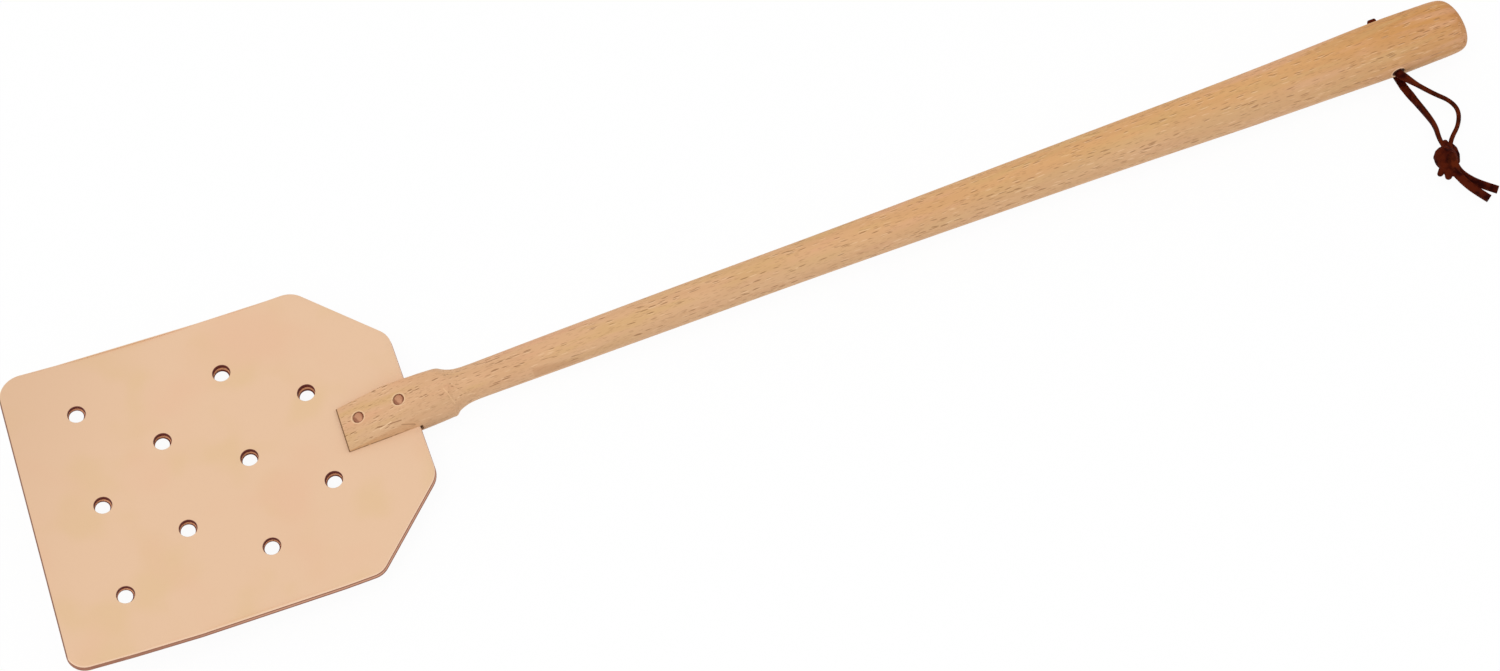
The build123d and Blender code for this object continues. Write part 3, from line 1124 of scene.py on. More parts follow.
    def _section(self, behind: float, radius: float) -> dict[str, np.ndarray]:
        """The named stretches of one even section, as points (y, z) round the axis.

        Args:
            behind: Distance behind the tip.
            radius: Radius of the turned shape there.

        Returns:
            The two stretches beside the saw cut's level and the two halves, in order round the section.
        """
        planed = np.interp(behind, [0, self.planed_length], [self.planed_tip, self.planed_end])
        if behind > self.planed_length:
            planed = 2 * radius
        limits = (2 * radius, planed)
        low, high = -self._saw_edge(radius, -1), self._saw_edge(radius, 1)
        gaps = [self._side(radius, limit, low, high, self.gap_steps)[1:-1] for limit in limits]
        return {
            "near_gap": gaps[0] * (-1, 1),
            "upper": np.vstack(self._half(behind, radius, 1, limits)),
            "far_gap": gaps[1][::-1],
            "lower": np.vstack(self._half(behind, radius, -1, limits))[::-1],
        }

    def _ring(self, behind: float, radius: float) -> dict[str, np.ndarray]:
        """The named stretches of one ring, as points in the frame, with the turner's small errors.

        Args:
            behind: Distance behind the tip.
            radius: Radius of the turned shape there.

        Returns:
            The section's stretches, as rows (x, y, z).
        """
        start, end = self.shoulder
        lean = self._past(behind, start, self.lean_rise) * (1 - self._past(behind, end, self.lean_fall))
        skew = self.butt_skew * self._past(behind, self.rounded_end, self.skew_rise)
        tip_lean = self.tip_lean * (1 - min(1.0, behind / self.tip_lean_length)) ** 2
        bow = self.bow * self._bump(behind, self.bow_middle, self.bow_length)
        far_fill = self.far_fill * self._bump(behind, self.valley, self.valley_reach)
        near_lip = self.near_lip * self._bump(behind, self.near_corner, self.near_corner_reach)
        placed = {}
        for name, points in self._section(behind, radius).items():
            share = points[:, 0] / radius
            x = self.tip_x + behind - self.shoulder_lean * lean * share - skew * points[:, 0]
            fill = far_fill * np.clip(share, 0, 1) ** 2
            lip = near_lip * np.clip(-share, 0, 1) ** 2
            y = points[:, 0] - tip_lean + fill - lip - bow
            placed[name] = np.column_stack([x, y, points[:, 1] + self.axis_z])
        return placed

    @staticmethod
    def _bump(place: float, middle: float, reach: float) -> float:
        """A smooth bump, 1 high, round a middle."""
        return math.exp(-(((place - middle) / reach) ** 2))

    def _blank(self) -> bpy.types.Mesh:
        """The turned, planed and sawn handle without its holes."""
        edit = bmesh.new()
        rings = []
        saw_end = None
        for behind, radius in self.rings():
            if saw_end is None and behind >= self.saw_depth:
                behind = self.saw_depth
                saw_end = len(rings)
            placed = self._ring(behind, radius)
            rings.append({k: [edit.verts.new(p) for p in v] for k, v in placed.items()})
        for index, (ring, following) in enumerate(zip(rings, rings[1:])):
            self._skin(edit, ring, following, sawn=index < saw_end)
        rows = [self._saw_rows(edit, ring) for ring in rings[: saw_end + 1]]
        for row, following in zip(rows, rows[1:]):
            for level in (0, 1):
                self._strip(edit, row[level], following[level])
        for level, side in ((1, "upper"), (0, "lower")):
            edge = rings[0][side] if side == "upper" else rings[0][side][::-1]
            edit.faces.new([*edge, *reversed(rows[0][level][1:-1])])
        self._saw_wall(edit, rings[saw_end], rows[-1])
        last = [v for name in ("near_gap", "upper", "far_gap", "lower") for v in rings[-1][name]]
        edit.faces.new(last)
        mesh = bpy.data.meshes.new("handle_blank")
        bmesh.ops.recalc_face_normals(edit, faces=edit.faces)
        edit.to_mesh(mesh)
        edit.free()
        return mesh

    @staticmethod
    def _strip(edit: bmesh.types.BMesh, row: Sequence, following: Sequence) -> None:
        """Faces between two rows of as many points."""
        for a, b, c, d in zip(row, row[1:], following[1:], following):
            edit.faces.new((a, b, c, d))

    def _skin(self, edit: bmesh.types.BMesh, ring: dict, following: dict, sawn: bool) -> None:
        """The outer surface between two rings, open at the saw cut.

        Args:
            edit: The handle's mesh.
            ring: The points of one ring, by stretch.
            following: Those of the next one.
            sawn: Whether the saw cut runs between them.
        """
        for name in ("upper", "lower"):
            self._strip(edit, ring[name], following[name])
        if sawn:
            return
        for gap, before, after in (("near_gap", "lower", "upper"), ("far_gap", "upper", "lower")):
            rows = [[loop[before][-1], *loop[gap], loop[after][0]] for loop in (ring, following)]
            self._strip(edit, *rows)

    def _across(self, edit: bmesh.types.BMesh, near: bmesh.types.BMVert, far: bmesh.types.BMVert) -> list:
        """A row of points from one to another, in even steps."""
        shares = np.linspace(0, 1, self.flat_steps + 1)[1:-1]
        return [near, *(edit.verts.new(near.co.lerp(far.co, t)) for t in shares), far]

    def _saw_rows(self, edit: bmesh.types.BMesh, ring: dict) -> tuple[list, list]:
        """Points across the lower and the upper face of the saw cut, from the near to the far side."""
        lower = self._across(edit, ring["lower"][-1], ring["lower"][0])
        return lower, self._across(edit, ring["upper"][0], ring["upper"][-1])

    def _saw_wall(self, edit: bmesh.types.BMesh, ring: dict, rows: tuple[list, list]) -> None:
        """The end of the saw cut."""
        between = [
            self._across(edit, near, far)
            for near, far in zip(ring["near_gap"], reversed(ring["far_gap"]))
        ]
        levels = [rows[0], *between, rows[1]]
        for row, following in zip(levels, levels[1:]):
            self._strip(edit, row, following)

    def build(self, wood: bpy.types.Material) -> bpy.types.Object:
        """Makes the handle and takes the CAD handle's place with it.

        Args:
            wood: Its material.

        Returns:
            The piece.
        """
        sizes = {
            "Seat radius": self.seat_radius,
            "Seat depth": self.seat_depth,
            "Hole radius": self.lace_hole_radius,
            "Grip radius": self.grip_radius,
        }
        net = GeometryNet("bored_handle", sizes)
        cutters = []
        seat = {"Radius": net.size("Seat radius"), "Depth": net.size("Seat depth") * 2.0}
        for behind in self.rivet_places:
            for up in (1, -1):
                height = self.leather_z + up * self.flat_height(behind)
                centre = (self.tip_x + behind, self.rivet_side, height)
                cutters.append(self._cutter(net, seat, centre, (0.0, self.seat_turn(up), 0.0)))
        bore = {"Radius": net.size("Hole radius"), "Depth": net.size("Grip radius") * 3.0}
        middle = (self.hole_x, 0.0, self.hole_z)
        cutters.append(self._cutter(net, bore, middle, (math.pi / 2, 0.0, 0.0)))
        cutters += [self._mouth(net, side) for side in (1, -1)]
        bored = net.node(
            "GeometryNodeMeshBoolean",
            {"operation": "DIFFERENCE", "solver": "EXACT"},
            {"Mesh 1": net.entry.output("Geometry"), "Mesh 2": net.join(*cutters)},
        )
        piece = net.make("turned_handle", self._blank(), net.paint(bored, wood))
        close_up(piece, 32)
        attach(piece, "grip")
        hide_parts("handle")
        return piece

    def _cutter(self, net: GeometryNet, size: Mapping[str, Source], centre: Point3, turn: Point3) -> Value:
        """A round cutter that stands on its middle point."""
        tool = net.cylinder({"Vertices": self.cutter_sides, **size})
        return net.transform(tool, {"Translation": centre, "Rotation": turn})

    def _mouth(self, net: GeometryNet, side: int) -> Value:
        """The cone that chamfers the far mouth (1) or the near mouth (-1) of the lace hole.

        Args:
            net: The handle's tree.
            side: Which mouth.

        Returns:
            The cone in its place.
        """
        sockets = {
            "Vertices": self.cutter_sides,
            "Radius Top": net.size("Hole radius") + self.mouth_cone,
            "Radius Bottom": net.size("Hole radius"),
            "Depth": self.mouth_cone,
        }
        cone = net.node("GeometryNodeMeshCone", None, sockets)
        place = (self.hole_x, side * (self.grip_radius - self.mouth_chamfer), self.hole_z)
        return net.transform(cone, {"Translation": place, "Rotation": (-side * math.pi / 2, 0.0, 0.0)})


# ---- Leather head ------------------------------------------------------------


@dataclass(frozen=True)
class Punch:
    """How far a punched hole strays from its place, and how far its lower mouth leans from its upper one."""

    drift: Point2
    lean: Point2


@dataclass(frozen=True)
class Hole:
    """One hole in the flat hide: its middle, its radius and how far it leans."""

    centre: Vector
    radius: float
    lean: Point3 = (0.0, 0.0, 0.0)


@dataclass
class LeatherHead:
    """One sheet of thick leather, gripped in the saw cut, punched with ten holes and curling up a little.

    A place on the flat hide is its distance ahead of the line where the leather bends, and its side.
    """

    length: float = 0.1157
    width: float = 0.097
    thickness: float = 0.0030
    gripped: float = 0.0219
    hinge_ahead: float = 0.0005
    corner_cut: float = 0.024
    corner_drift: tuple[Point2, ...] = (
        (-0.0001, -0.0007), (0.0006, 0.0), (0.0002, -0.0005),
        (-0.0005, -0.0005), (0.0, 0.0004), (0.0003, 0.0),
    )
    roundings: tuple[float, ...] = (0.0056, 0.0056, 0.0072, 0.0070, 0.0080, 0.0076)
    curl_radius: float = 0.410
    rim: float = 0.0005
    hole_rim: float = 0.3
    lower_rim: float = 0.0003
    wall_steps: int = 4
    ripple: float = 0.00025
    ripple_pace: Point3 = (22.0, 22.0, 0.0)
    ripple_rise: Point2 = (0.006, 0.04)
    far_lift: float = 0.0006
    far_from: float = 0.010
    far_width: float = 0.038
    far_rise: Point2 = (0.005, 0.030)
    far_fall: Point2 = (0.090, 0.050)
    punch_radius: float = 0.00265
    punch_taper: float = 0.0006
    punches: tuple[Punch, ...] = (
        Punch((-0.0001, -0.0010), (-0.0002, 0.0008)),
        Punch((0.0005, -0.0010), (-0.0003, 0.0005)),
        Punch((0.0002, 0.0005), (-0.0002, 0.0008)),
        Punch((0.0001, -0.0003), (-0.0003, 0.0005)),
        Punch((0.0, -0.0004), (-0.0004, 0.0004)),
        Punch((-0.0004, -0.0002), (-0.0003, 0.0008)),
        Punch((0.0008, -0.0003), (-0.0003, 0.0003)),
        Punch((0.0001, -0.0005), (-0.0004, 0.0)),
        Punch((0.0003, -0.0004), (-0.0003, 0.0003)),
        Punch((0.0002, -0.0001), (-0.0004, 0.0)),
    )
    rivet_hole_radius: float = 0.00125
    first_column: float = 0.0206
    column_pitch: float = 0.02205
    row_pitch: float = 0.0298
    column_drift: tuple[float, ...] = (0.0004, -0.0003, 0.0008, 0.0)
    grid: float = 0.0024
    clear: float = 0.0011
    hole_points: int = 44
    edge_step: float = 0.0012
    arc_step: float = 0.0007
    merge_gap: float = 2e-5
    bend_from: float = 0.0005
    bend_to: float = 0.026

    def punched(self) -> Iterator[Point2]:
        """Places of the ten punched holes, in columns of three and two."""
        free_edge = self.length - self.gripped - self.hinge_ahead
        for column, drift in enumerate(self.column_drift):
            rows = (-1, 0, 1) if column % 2 == 0 else (-0.5, 0.5)
            for row in rows:
                ahead = free_edge - self.first_column - column * self.column_pitch
                yield ahead, row * self.row_pitch + drift

    def _holes(self, handle: Handle) -> list[Hole]:
        """The punched holes and those for the rivets."""
        hinge = handle.tip_x - self.hinge_ahead
        holes = []
        for (ahead, side), punch in zip(self.punched(), self.punches):
            place = Vector((hinge - ahead, side)) + Vector(punch.drift)
            holes.append(Hole(place, self.punch_radius, (*punch.lean, 0.0)))
        for behind in handle.rivet_places:
            place = Vector((handle.tip_x + behind, handle.rivet_side))
            holes.append(Hole(place, self.rivet_hole_radius))
        return holes

    def _arc(self, before: Vector, after: Vector, here: Vector, radius: float) -> list[tuple[Vector, Vector]]:
        """One rounded corner of the outline.

        Args:
            before: Direction of the outline before the corner.
            after: Its direction after it.
            here: The corner's place if it were sharp.
            radius: Radius of its rounding.

        Returns:
            Each point, and the direction out of the leather there.
        """
        turn = before.angle_signed(after) * -1
        out_before = Vector((before.y, -before.x))
        centre = here - before * (radius * math.tan(turn / 2)) - out_before * radius
        count = max(2, round(radius * turn / self.arc_step))
        arc = []
        for share in np.linspace(0, 1, count + 1):
            outward = out_before.copy()
            outward.rotate(Matrix.Rotation(turn * share, 2))
            arc.append((centre + outward * radius, outward))
        return arc

    def _outline(self, handle: Handle) -> list[tuple[Vector, Vector]]:
        """The outline with rounded corners: each point, and the direction out of the leather there."""
        rear = handle.tip_x + self.gripped
        front, side, cut = rear - self.length, self.width / 2, self.corner_cut
        near = [(front, -side), (rear - cut, -side), (rear, cut - side)]
        far = [(rear, side - cut), (rear - cut, side), (front, side)]
        corners = [Vector(corner) + Vector(drift) for corner, drift in zip(near + far, self.corner_drift)]
        arcs = []
        for index, (here, radius) in enumerate(zip(corners, self.roundings)):
            before = (here - corners[index - 1]).normalized()
            after = (corners[(index + 1) % len(corners)] - here).normalized()
            arcs.append(self._arc(before, after, here, radius))
        line = []
        for arc, following in zip(arcs, arcs[1:] + arcs[:1]):
            line += arc
            start, outward = arc[-1]
            run = following[0][0] - start
            count = max(1, round(run.length / self.edge_step))
            line += [(start + run * (k / count), outward) for k in range(1, count)]
        return line

    def _flat_face(self, handle: Handle) -> bpy.types.Mesh:
        """The flat face inside the rounded rims.

        Its rim points carry the direction out of the leather, whether they are on a punched hole, and the
        hole's lean.
        """
        holes = self._holes(handle)
        outline = self._outline(handle)
        still = (0.0, 0.0, 0.0)
        loops = [[(place - outward * self.rim, outward, 0.0, still) for place, outward in outline]]
        rim = self.rim * self.hole_rim
        for hole in holes:
            turns = np.linspace(0, -2 * math.pi, self.hole_points, endpoint=False)
            punched = float(hole.radius == self.punch_radius)
            loop = []
            for spoke in (Vector((math.cos(turn), math.sin(turn))) for turn in turns):
                place = hole.centre + spoke * (hole.radius + rim)
                loop.append((place, spoke * -self.hole_rim, punched, hole.lean))
            loops.append(loop)
        marked = [point for loop in loops for point in loop]
        points = [place for place, *_ in marked]
        edges = []
        for loop in loops:
            first = len(edges)
            edges += [(first + k, first + (k + 1) % len(loop)) for k in range(len(loop))]
        points += self._inner_points(holes, np.array([tuple(p) for p in points[: len(loops[0])]]))
        places, _, faces, origins, _, _ = delaunay_2d_cdt(points, edges, [], 0, 1e-7)
        kept = []
        for face in faces:
            middle = sum((places[k] for k in face), Vector((0, 0))) / len(face)
            if all((middle - hole.centre).length > hole.radius + rim for hole in holes):
                kept.append(face)
        mesh = plain_mesh("leather_face", [(p.x, p.y, 0.0) for p in places], (), kept)
        marks = {name: np.zeros((len(places), 3)) for name in ("outward", "punched", "lean")}
        for index, origin in enumerate(origins):
            if origin and origin[0] < len(marked):
                _, outward, punched, lean = marked[origin[0]]
                marks["outward"][index] = outward.to_3d()
                marks["punched"][index] = punched
                marks["lean"][index] = lean
        for name, vectors in marks.items():
            mark_points(mesh, name, vectors)
        return mesh

    def _inner_points(self, holes: Sequence[Hole], rim: np.ndarray) -> list[Vector]:
        """A triangular grid of points inside the outline, and rings of points round the holes.

        Args:
            holes: The holes.
            rim: The outline's points.

        Returns:
            The points.
        """
        low, high = rim.min(axis=0), rim.max(axis=0)
        points = []
        for hole in holes:
            ring = hole.radius + self.rim * self.hole_rim + self.clear * 0.8
            turns = np.linspace(0, 2 * math.pi, self.hole_points // 2, endpoint=False)
            points += [hole.centre + Vector((math.cos(t), math.sin(t))) * ring for t in turns]
        beside = self.rim + 1.9 * self.clear
        for row, y in enumerate(np.arange(low[1], high[1], self.grid * math.sqrt(0.75))):
            for x in np.arange(low[0] + (row % 2) * self.grid / 2, high[0], self.grid):
                place = Vector((x, y))
                clear = all((place - hole.centre).length > hole.radius + beside for hole in holes)
                if clear and self._inside(place, rim):
                    points.append(place)
        return points

    def _inside(self, place: Vector, rim: np.ndarray) -> bool:
        """Whether a place is inside the outline and clear of it."""
        gaps = rim - np.array(place)
        if np.hypot(gaps[:, 0], gaps[:, 1]).min() < self.clear:
            return False
        run = np.roll(rim, -1, axis=0) - rim
        return bool(np.all(run[:, 0] * -gaps[:, 1] - run[:, 1] * -gaps[:, 0] > 0))

    def _rim_steps(self) -> list[tuple[float, float, LeatherSide]]:
        """How far each step of the edge goes outwards and down, from the grain side to the flesh side."""
        turns = np.radians([0, 30, 60, 90])
        arc = list(zip(np.diff(np.sin(turns)), -np.diff(1 - np.cos(turns))))
        upper = [(self.rim * out, self.rim * down, LeatherSide.GRAIN) for out, down in arc]
        drop = (self.thickness - self.rim - self.lower_rim) / self.wall_steps
        wall = [(0.0, -drop, LeatherSide.CUT)] * self.wall_steps
        lower = [(-self.rim * out, self.lower_rim * down, LeatherSide.CUT) for out, down in arc[::-1]]
        return [*upper, *wall, *lower]

    def _edge(self, net: GeometryNet, shell: Value, taper: Value, cut: bpy.types.Material) -> Value:
        """Grows the edge down from the rims of the grain side, step by step.

        Args:
            net: The head's tree.
            shell: The grain side.
            taper: How far the punched holes' lower mouths are from their upper ones.
            cut: Finish of the cut edge.

        Returns:
            The grain side with the whole edge.
        """
        steps = self._rim_steps()
        taper = net.scaled(taper, 1.0 / sum(side is LeatherSide.CUT for _, _, side in steps))
        faces_beside = net.node("GeometryNodeInputMeshEdgeNeighbors")
        rim = net.calc("COMPARE", faces_beside, 1.0, 0.1)
        for out, down, side in steps:
            step = net.shift(net.scaled(net.marked("outward"), out), (0.0, 0.0, down))
            if side is LeatherSide.CUT:
                step = net.shift(step, taper)
            sockets = {"Mesh": shell, "Selection": rim, "Offset": step, "Offset Scale": 1.0}
            shell = grown = net.node("GeometryNodeExtrudeMesh", {"mode": "EDGES"}, sockets)
            if side is LeatherSide.CUT:
                shell = net.paint(grown, cut, grown.output("Side"))
            rim = grown.output("Top")
        return shell

    def build(self, handle: Handle, finish: TannedLeather) -> bpy.types.Object:
        """Makes the sheet and takes the place of both CAD pieces of leather with it.

        Args:
            handle: What grips it.
            finish: The look of its three surfaces.

        Returns:
            The piece.
        """
        sizes = {
            "Thickness": self.thickness,
            "Curl radius": self.curl_radius,
            "Hinge X": handle.tip_x - self.hinge_ahead,
            "Middle height": handle.leather_z,
            "Ripple": self.ripple,
            "Far lift": self.far_lift,
            "Punch taper": self.punch_taper,
        }
        net = GeometryNet("punched_leather", sizes)
        half = net.size("Thickness") * 0.5
        face = net.entry.output("Geometry")
        punched, _, _ = net.split(net.scaled(net.marked("punched"), 1.0 / self.hole_rim))
        taper = net.scaled(net.marked("outward"), punched * net.size("Punch taper"))
        taper = net.shift(taper, net.marked("lean"))
        top = net.nudge(face, net.vector(0.0, 0.0, half))
        bottom = net.nudge(face, net.shift(taper, net.vector(0.0, 0.0, half * -1.0)))
        bottom = net.node("GeometryNodeFlipFaces", None, {"Mesh": bottom})
        shell = net.paint(top, finish.material(LeatherSide.GRAIN))
        shell = self._edge(net, shell, taper, finish.material(LeatherSide.CUT))
        sheet = net.join(shell, net.paint(bottom, finish.material(LeatherSide.FLESH)))
        merge = {"Geometry": sheet, "Distance": self.merge_gap}
        sheet = net.node("GeometryNodeMergeByDistance", None, merge)
        place = net.node("GeometryNodeInputPosition")
        curl = {"Geometry": net.mark(sheet, "flat", place), "Position": self._curl(net, place)}
        curled = net.node("GeometryNodeSetPosition", None, curl)
        piece = net.make("leather_head", self._flat_face(handle), curled)
        close_up(piece, 40, 1e-7)
        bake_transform(piece)
        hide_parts("leather_root", "leather_flap")
        return piece

    def _curl(self, net: GeometryNet, place: Value) -> Value:
        """Where a point of the flat hide goes when the leather curls and ripples a little.

        Args:
            net: The head's tree.
            place: The point on the flat hide.

        Returns:
            The point's place in the frame.
        """
        x, y, depth = net.split(place)
        hinge = net.size("Hinge X")
        radius = net.size("Curl radius")
        ahead = net.calc("MAXIMUM", hinge - x, 0.0)
        fade = net.step(ahead, *self.ripple_rise)
        wave = net.noise(net.stretch(place, self.ripple_pace), 1.0, 1.0)
        lift = (wave - 0.5) * net.size("Ripple") * 2.0 * fade
        turn = ahead / radius
        side = net.calc("MAXIMUM", y - self.far_from, 0.0) / self.far_width
        middle = net.step(ahead, *self.far_rise) * net.step(ahead, *self.far_fall)
        lift = lift + side * side * net.size("Far lift") * middle
        inner = radius - depth - lift
        new_x = net.calc("MAXIMUM", x, hinge) - inner * net.calc("SINE", turn)
        new_z = net.size("Middle height") + radius - inner * net.calc("COSINE", turn)
        return net.vector(new_x, y, new_z)


# ---- Rivets ------------------------------------------------------------------


@dataclass
class Rivet:
    """A copper pin through both cheeks and the leather, hammered over at both ends."""

    name: str
    behind_tip: float
    head_radius: float = 0.0017
    head_thickness: float = 0.0004
    crown: float = 0.00018
    dent: float = 0.00012
    dent_pace: Point3 = (1100.0, 1100.0, 0.0)
    round_edge: Point2 = (0.86, 1.0)
    edge_drop: float = 0.35
    shank_radius: float = 0.0012
    oval: float = 0.06
    oval_turn: float = math.radians(-20)

    def build(self, handle: Handle, copper: bpy.types.Material) -> bpy.types.Object:
        """Makes the rivet in its seats.

        Args:
            handle: Where the seats are.
            copper: Its material.

        Returns:
            The piece.
        """
        sizes = {
            "Head radius": self.head_radius,
            "Head thickness": self.head_thickness,
            "Crown": self.crown,
            "Dent": self.dent,
            "Shank radius": self.shank_radius,
            "Seat depth": handle.seat_depth,
            "Oval": self.oval,
        }
        net = GeometryNet("hammered_rivet", sizes)
        height = handle.flat_height(self.behind_tip)
        depth = 2 * (height - handle.seat_depth)
        shank = net.cylinder({"Vertices": 24, "Radius": net.size("Shank radius"), "Depth": depth})
        x, y, z = handle.tip_x + self.behind_tip, handle.rivet_side, handle.leather_z
        parts = [net.transform(shank, {"Translation": (x, y, z)})]
        for up in (1, -1):
            sockets = {"Translation": (x, y, z + up * height), "Rotation": (0.0, handle.seat_turn(up), 0.0)}
            parts.append(net.transform(self._head(net, up), sockets))
        whole = net.paint(net.join(*parts), copper)
        piece = net.make(self.name + "_copper", plain_mesh(self.name, []), whole)
        close_up(piece, 40)
        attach(piece, "grip")
        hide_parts(self.name)
        return piece

    def _head(self, net: GeometryNet, seed: int) -> Value:
        """One head, standing on the bottom of its seat, with its outer face up.

        Args:
            net: The rivet's tree.
            seed: A number that tells its dents from those of the other head.

        Returns:
            The head round the origin.
        """
        radius, thickness = net.size("Head radius"), net.size("Head thickness")
        fineness = {"Vertices": 40, "Side Segments": 3, "Fill Segments": 9}
        disc = net.cylinder({**fineness, "Radius": radius, "Depth": thickness})
        place = net.node("GeometryNodeInputPosition")
        x, y, z = net.split(place)
        reach = net.hypotenuse(x, y) / radius
        rim = net.mark(disc, "rim", net.vector(reach, x / radius, y / radius))
        dents = net.noise(net.shift(net.stretch(place, self.dent_pace), (3.0 * seed, 7.0, 0.0)), 1.0, 1.0)
        outer = net.step(z, 0.0, 0.0001)
        dome = net.size("Crown") * (1.0 - reach * reach) - net.size("Dent") * dents
        lift = dome * outer - net.step(reach, *self.round_edge) * outer * thickness * self.edge_drop
        lift = lift + thickness * 0.5 - net.size("Seat depth")
        head = net.nudge(rim, net.vector(0.0, 0.0, lift))
        oval = net.vector(1.0 - net.size("Oval"), 1.0 + net.size("Oval"), 1.0)
        head = net.transform(head, {"Rotation": (0.0, 0.0, -self.oval_turn)})
        head = net.transform(head, {"Scale": oval})
        return net.transform(head, {"Rotation": (0.0, 0.0, self.oval_turn)})


# ---- Lace --------------------------------------------------------------------


Bead = tuple[Point3, Point3]
Stretch = tuple[Sequence[Vector], Sequence[Vector]]


@dataclass(frozen=True)
class LaceRoute:
    """A free stretch of lace: the points that guide its line, and which way its flat width faces along it."""

    name: str
    points: tuple[Point3, ...]
    facings: tuple[Point3, ...]
    length: float
    replaces: tuple[str, ...]


@dataclass
class Lace:
    """The leather lace: through the grip, round under it, and out as a loop that is tied in a knot.

    Route points are measured along X from the lace hole, along Y from the line that the loop turns about, and
    up from the table. The knot is modelled from chains of beads, each a centre and three radii from the same
    place in millimetres, that are melted together.
    """

    width: float = 0.0024
    thickness: float = 0.0013
    rounding: float = 0.0004
    clearance: float = 0.0001
    drop: float = 0.00095
    turn_out: float = 0.0012
    wrap_overhang: float = 0.0007
    smoothness: int = 20
    knot_chains: tuple[tuple[Bead, ...], ...] = (
        (((2.55, -27.6, 3.65), (3.45, 3.85, 3.4)),),
        (
            ((5.8, -23.6, 2.4), (1.0, 0.95, 1.0)),
            ((6.25, -25.2, 2.6), (1.05, 1.0, 1.0)),
            ((6.1, -27.3, 2.8), (1.0, 0.95, 1.0)),
            ((5.4, -29.3, 2.8), (0.9, 0.9, 0.9)),
        ),
        (
            ((4.6, -22.5, 3.2), (0.95, 0.9, 0.9)),
            ((4.3, -23.8, 3.3), (1.35, 1.2, 1.2)),
            ((3.7, -25.2, 3.7), (1.5, 1.4, 1.5)),
        ),
        (
            ((0.15, -26.2, 3.4), (0.9, 0.9, 1.1)),
            ((0.7, -26.0, 5.4), (0.95, 1.1, 0.95)),
            ((2.2, -26.8, 6.6), (1.1, 1.2, 0.8)),
            ((3.6, -28.6, 6.6), (1.2, 1.2, 0.8)),
            ((3.6, -30.8, 5.2), (1.3, 1.2, 0.9)),
            ((3.4, -32.6, 4.4), (1.3, 1.2, 0.9)),
        ),
        (
            ((1.7, -30.2, 4.0), (2.3, 1.9, 2.2)),
            ((2.4, -32.0, 4.0), (1.8, 1.6, 1.3)),
            ((3.4, -33.7, 3.8), (1.3, 1.2, 0.9)),
            ((4.3, -35.6, 3.3), (1.0, 1.0, 0.7)),
        ),
        (((0.4, -30.4, 3.2), (1.3, 1.1, 1.2)), ((-0.75, -31.3, 2.8), (1.0, 0.85, 1.0))),
        (((1.6, -31.8, 3.4), (1.4, 1.2, 1.2)), ((0.95, -33.2, 3.1), (1.1, 1.0, 1.05))),
    )
    bead_step: float = 0.3
    knot_voxel: float = 0.00014
    knot_smoothing: int = 8
    # Middle of the painted highlight on the knot, in millimetres from its origin.
    knot_highlight: Point2 = (4.5, -31.0)
    knot_highlight_reach: Point2 = (5.0, 1.5)
    knot_highlight_least: float = 0.55
    mouth_reach: float = 0.0105
    wrap_drift: float = 0.0019
    routes: tuple[LaceRoute, ...] = (
        LaceRoute(
            "lace_upper",
            (
                (-0.0004, 0.0014, 0.0098), (0.0003, 0.0002, 0.0098), (0.0030, -0.0032, 0.0085),
                (0.0077, -0.0070, 0.0052), (0.0122, -0.0094, 0.0018), (0.0133, -0.0132, 0.00125),
                (0.0112, -0.0176, 0.00135), (0.0074, -0.0212, 0.0021), (0.0051, -0.0246, 0.0032),
                (0.0046, -0.0280, 0.0032), (0.0042, -0.0322, 0.0028), (0.0060, -0.0352, 0.0019),
                (0.0089, -0.0384, 0.0013), (0.0128, -0.0418, 0.0011),
            ),
            (
                (1, 0.2, 0.2), (-0.1, -0.4, 0.9), (-0.25, -0.42, 0.87), (-0.2, -0.4, 0.87),
                (-0.3, -0.4, 0.8), (0.2, -0.3, 0.9), (1, 0.3, 0.6), (1, 0.6, 0.5),
            ),
            0.057,
            ("lace_strand_upper", "lace_tail_upper"),
        ),
        LaceRoute(
            "lace_lower",
            (
                (0.0018, 0.0012, 0.00075), (0.0020, -0.0006, 0.0010), (0.0029, -0.0052, 0.0013),
                (0.0042, -0.0112, 0.0014), (0.0048, -0.0154, 0.0014), (0.0040, -0.0199, 0.0018),
                (0.0039, -0.0236, 0.0028), (0.0030, -0.0278, 0.0042), (0.0026, -0.0314, 0.0046),
                (0.0034, -0.0344, 0.0039), (0.0052, -0.0380, 0.0027), (0.0072, -0.0406, 0.0016),
                (0.0093, -0.0435, 0.0010),
            ),
            (
                (1, 0, 0), (0.3, -0.2, 0.88), (0.0, -0.35, 0.9), (-0.2, -0.4, 0.88),
                (-0.25, -0.42, 0.87), (0.6, 0.2, 0.7), (1, 0.5, 0.1), (1, 0.6, 0),
            ),
            0.047,
            ("lace_strand_lower", "lace_tail_lower"),
        ),
    )

    def _route_line(self, name: str, points: Sequence[Point3]) -> list[Vector]:
        """Points along the smooth curve that a route guides.

        Args:
            name: Name of the route.
            points: The points that guide it.

        Returns:
            Points close enough together to be the curve.
        """
        curve = bpy.data.curves.new(name, "CURVE")
        curve.dimensions = "3D"
        curve.resolution_u = self.smoothness
        spline = curve.splines.new("NURBS")
        spline.points.add(len(points) - 1)
        for knot, place in zip(spline.points, points):
            knot.co = (*place, 1.0)
        spline.order_u = 3
        spline.use_endpoint_u = True
        guide = bpy.data.objects.new(name, curve)
        line = [v.co.copy() for v in bpy.data.meshes.new_from_object(guide).vertices]
        bpy.data.objects.remove(guide)
        return line

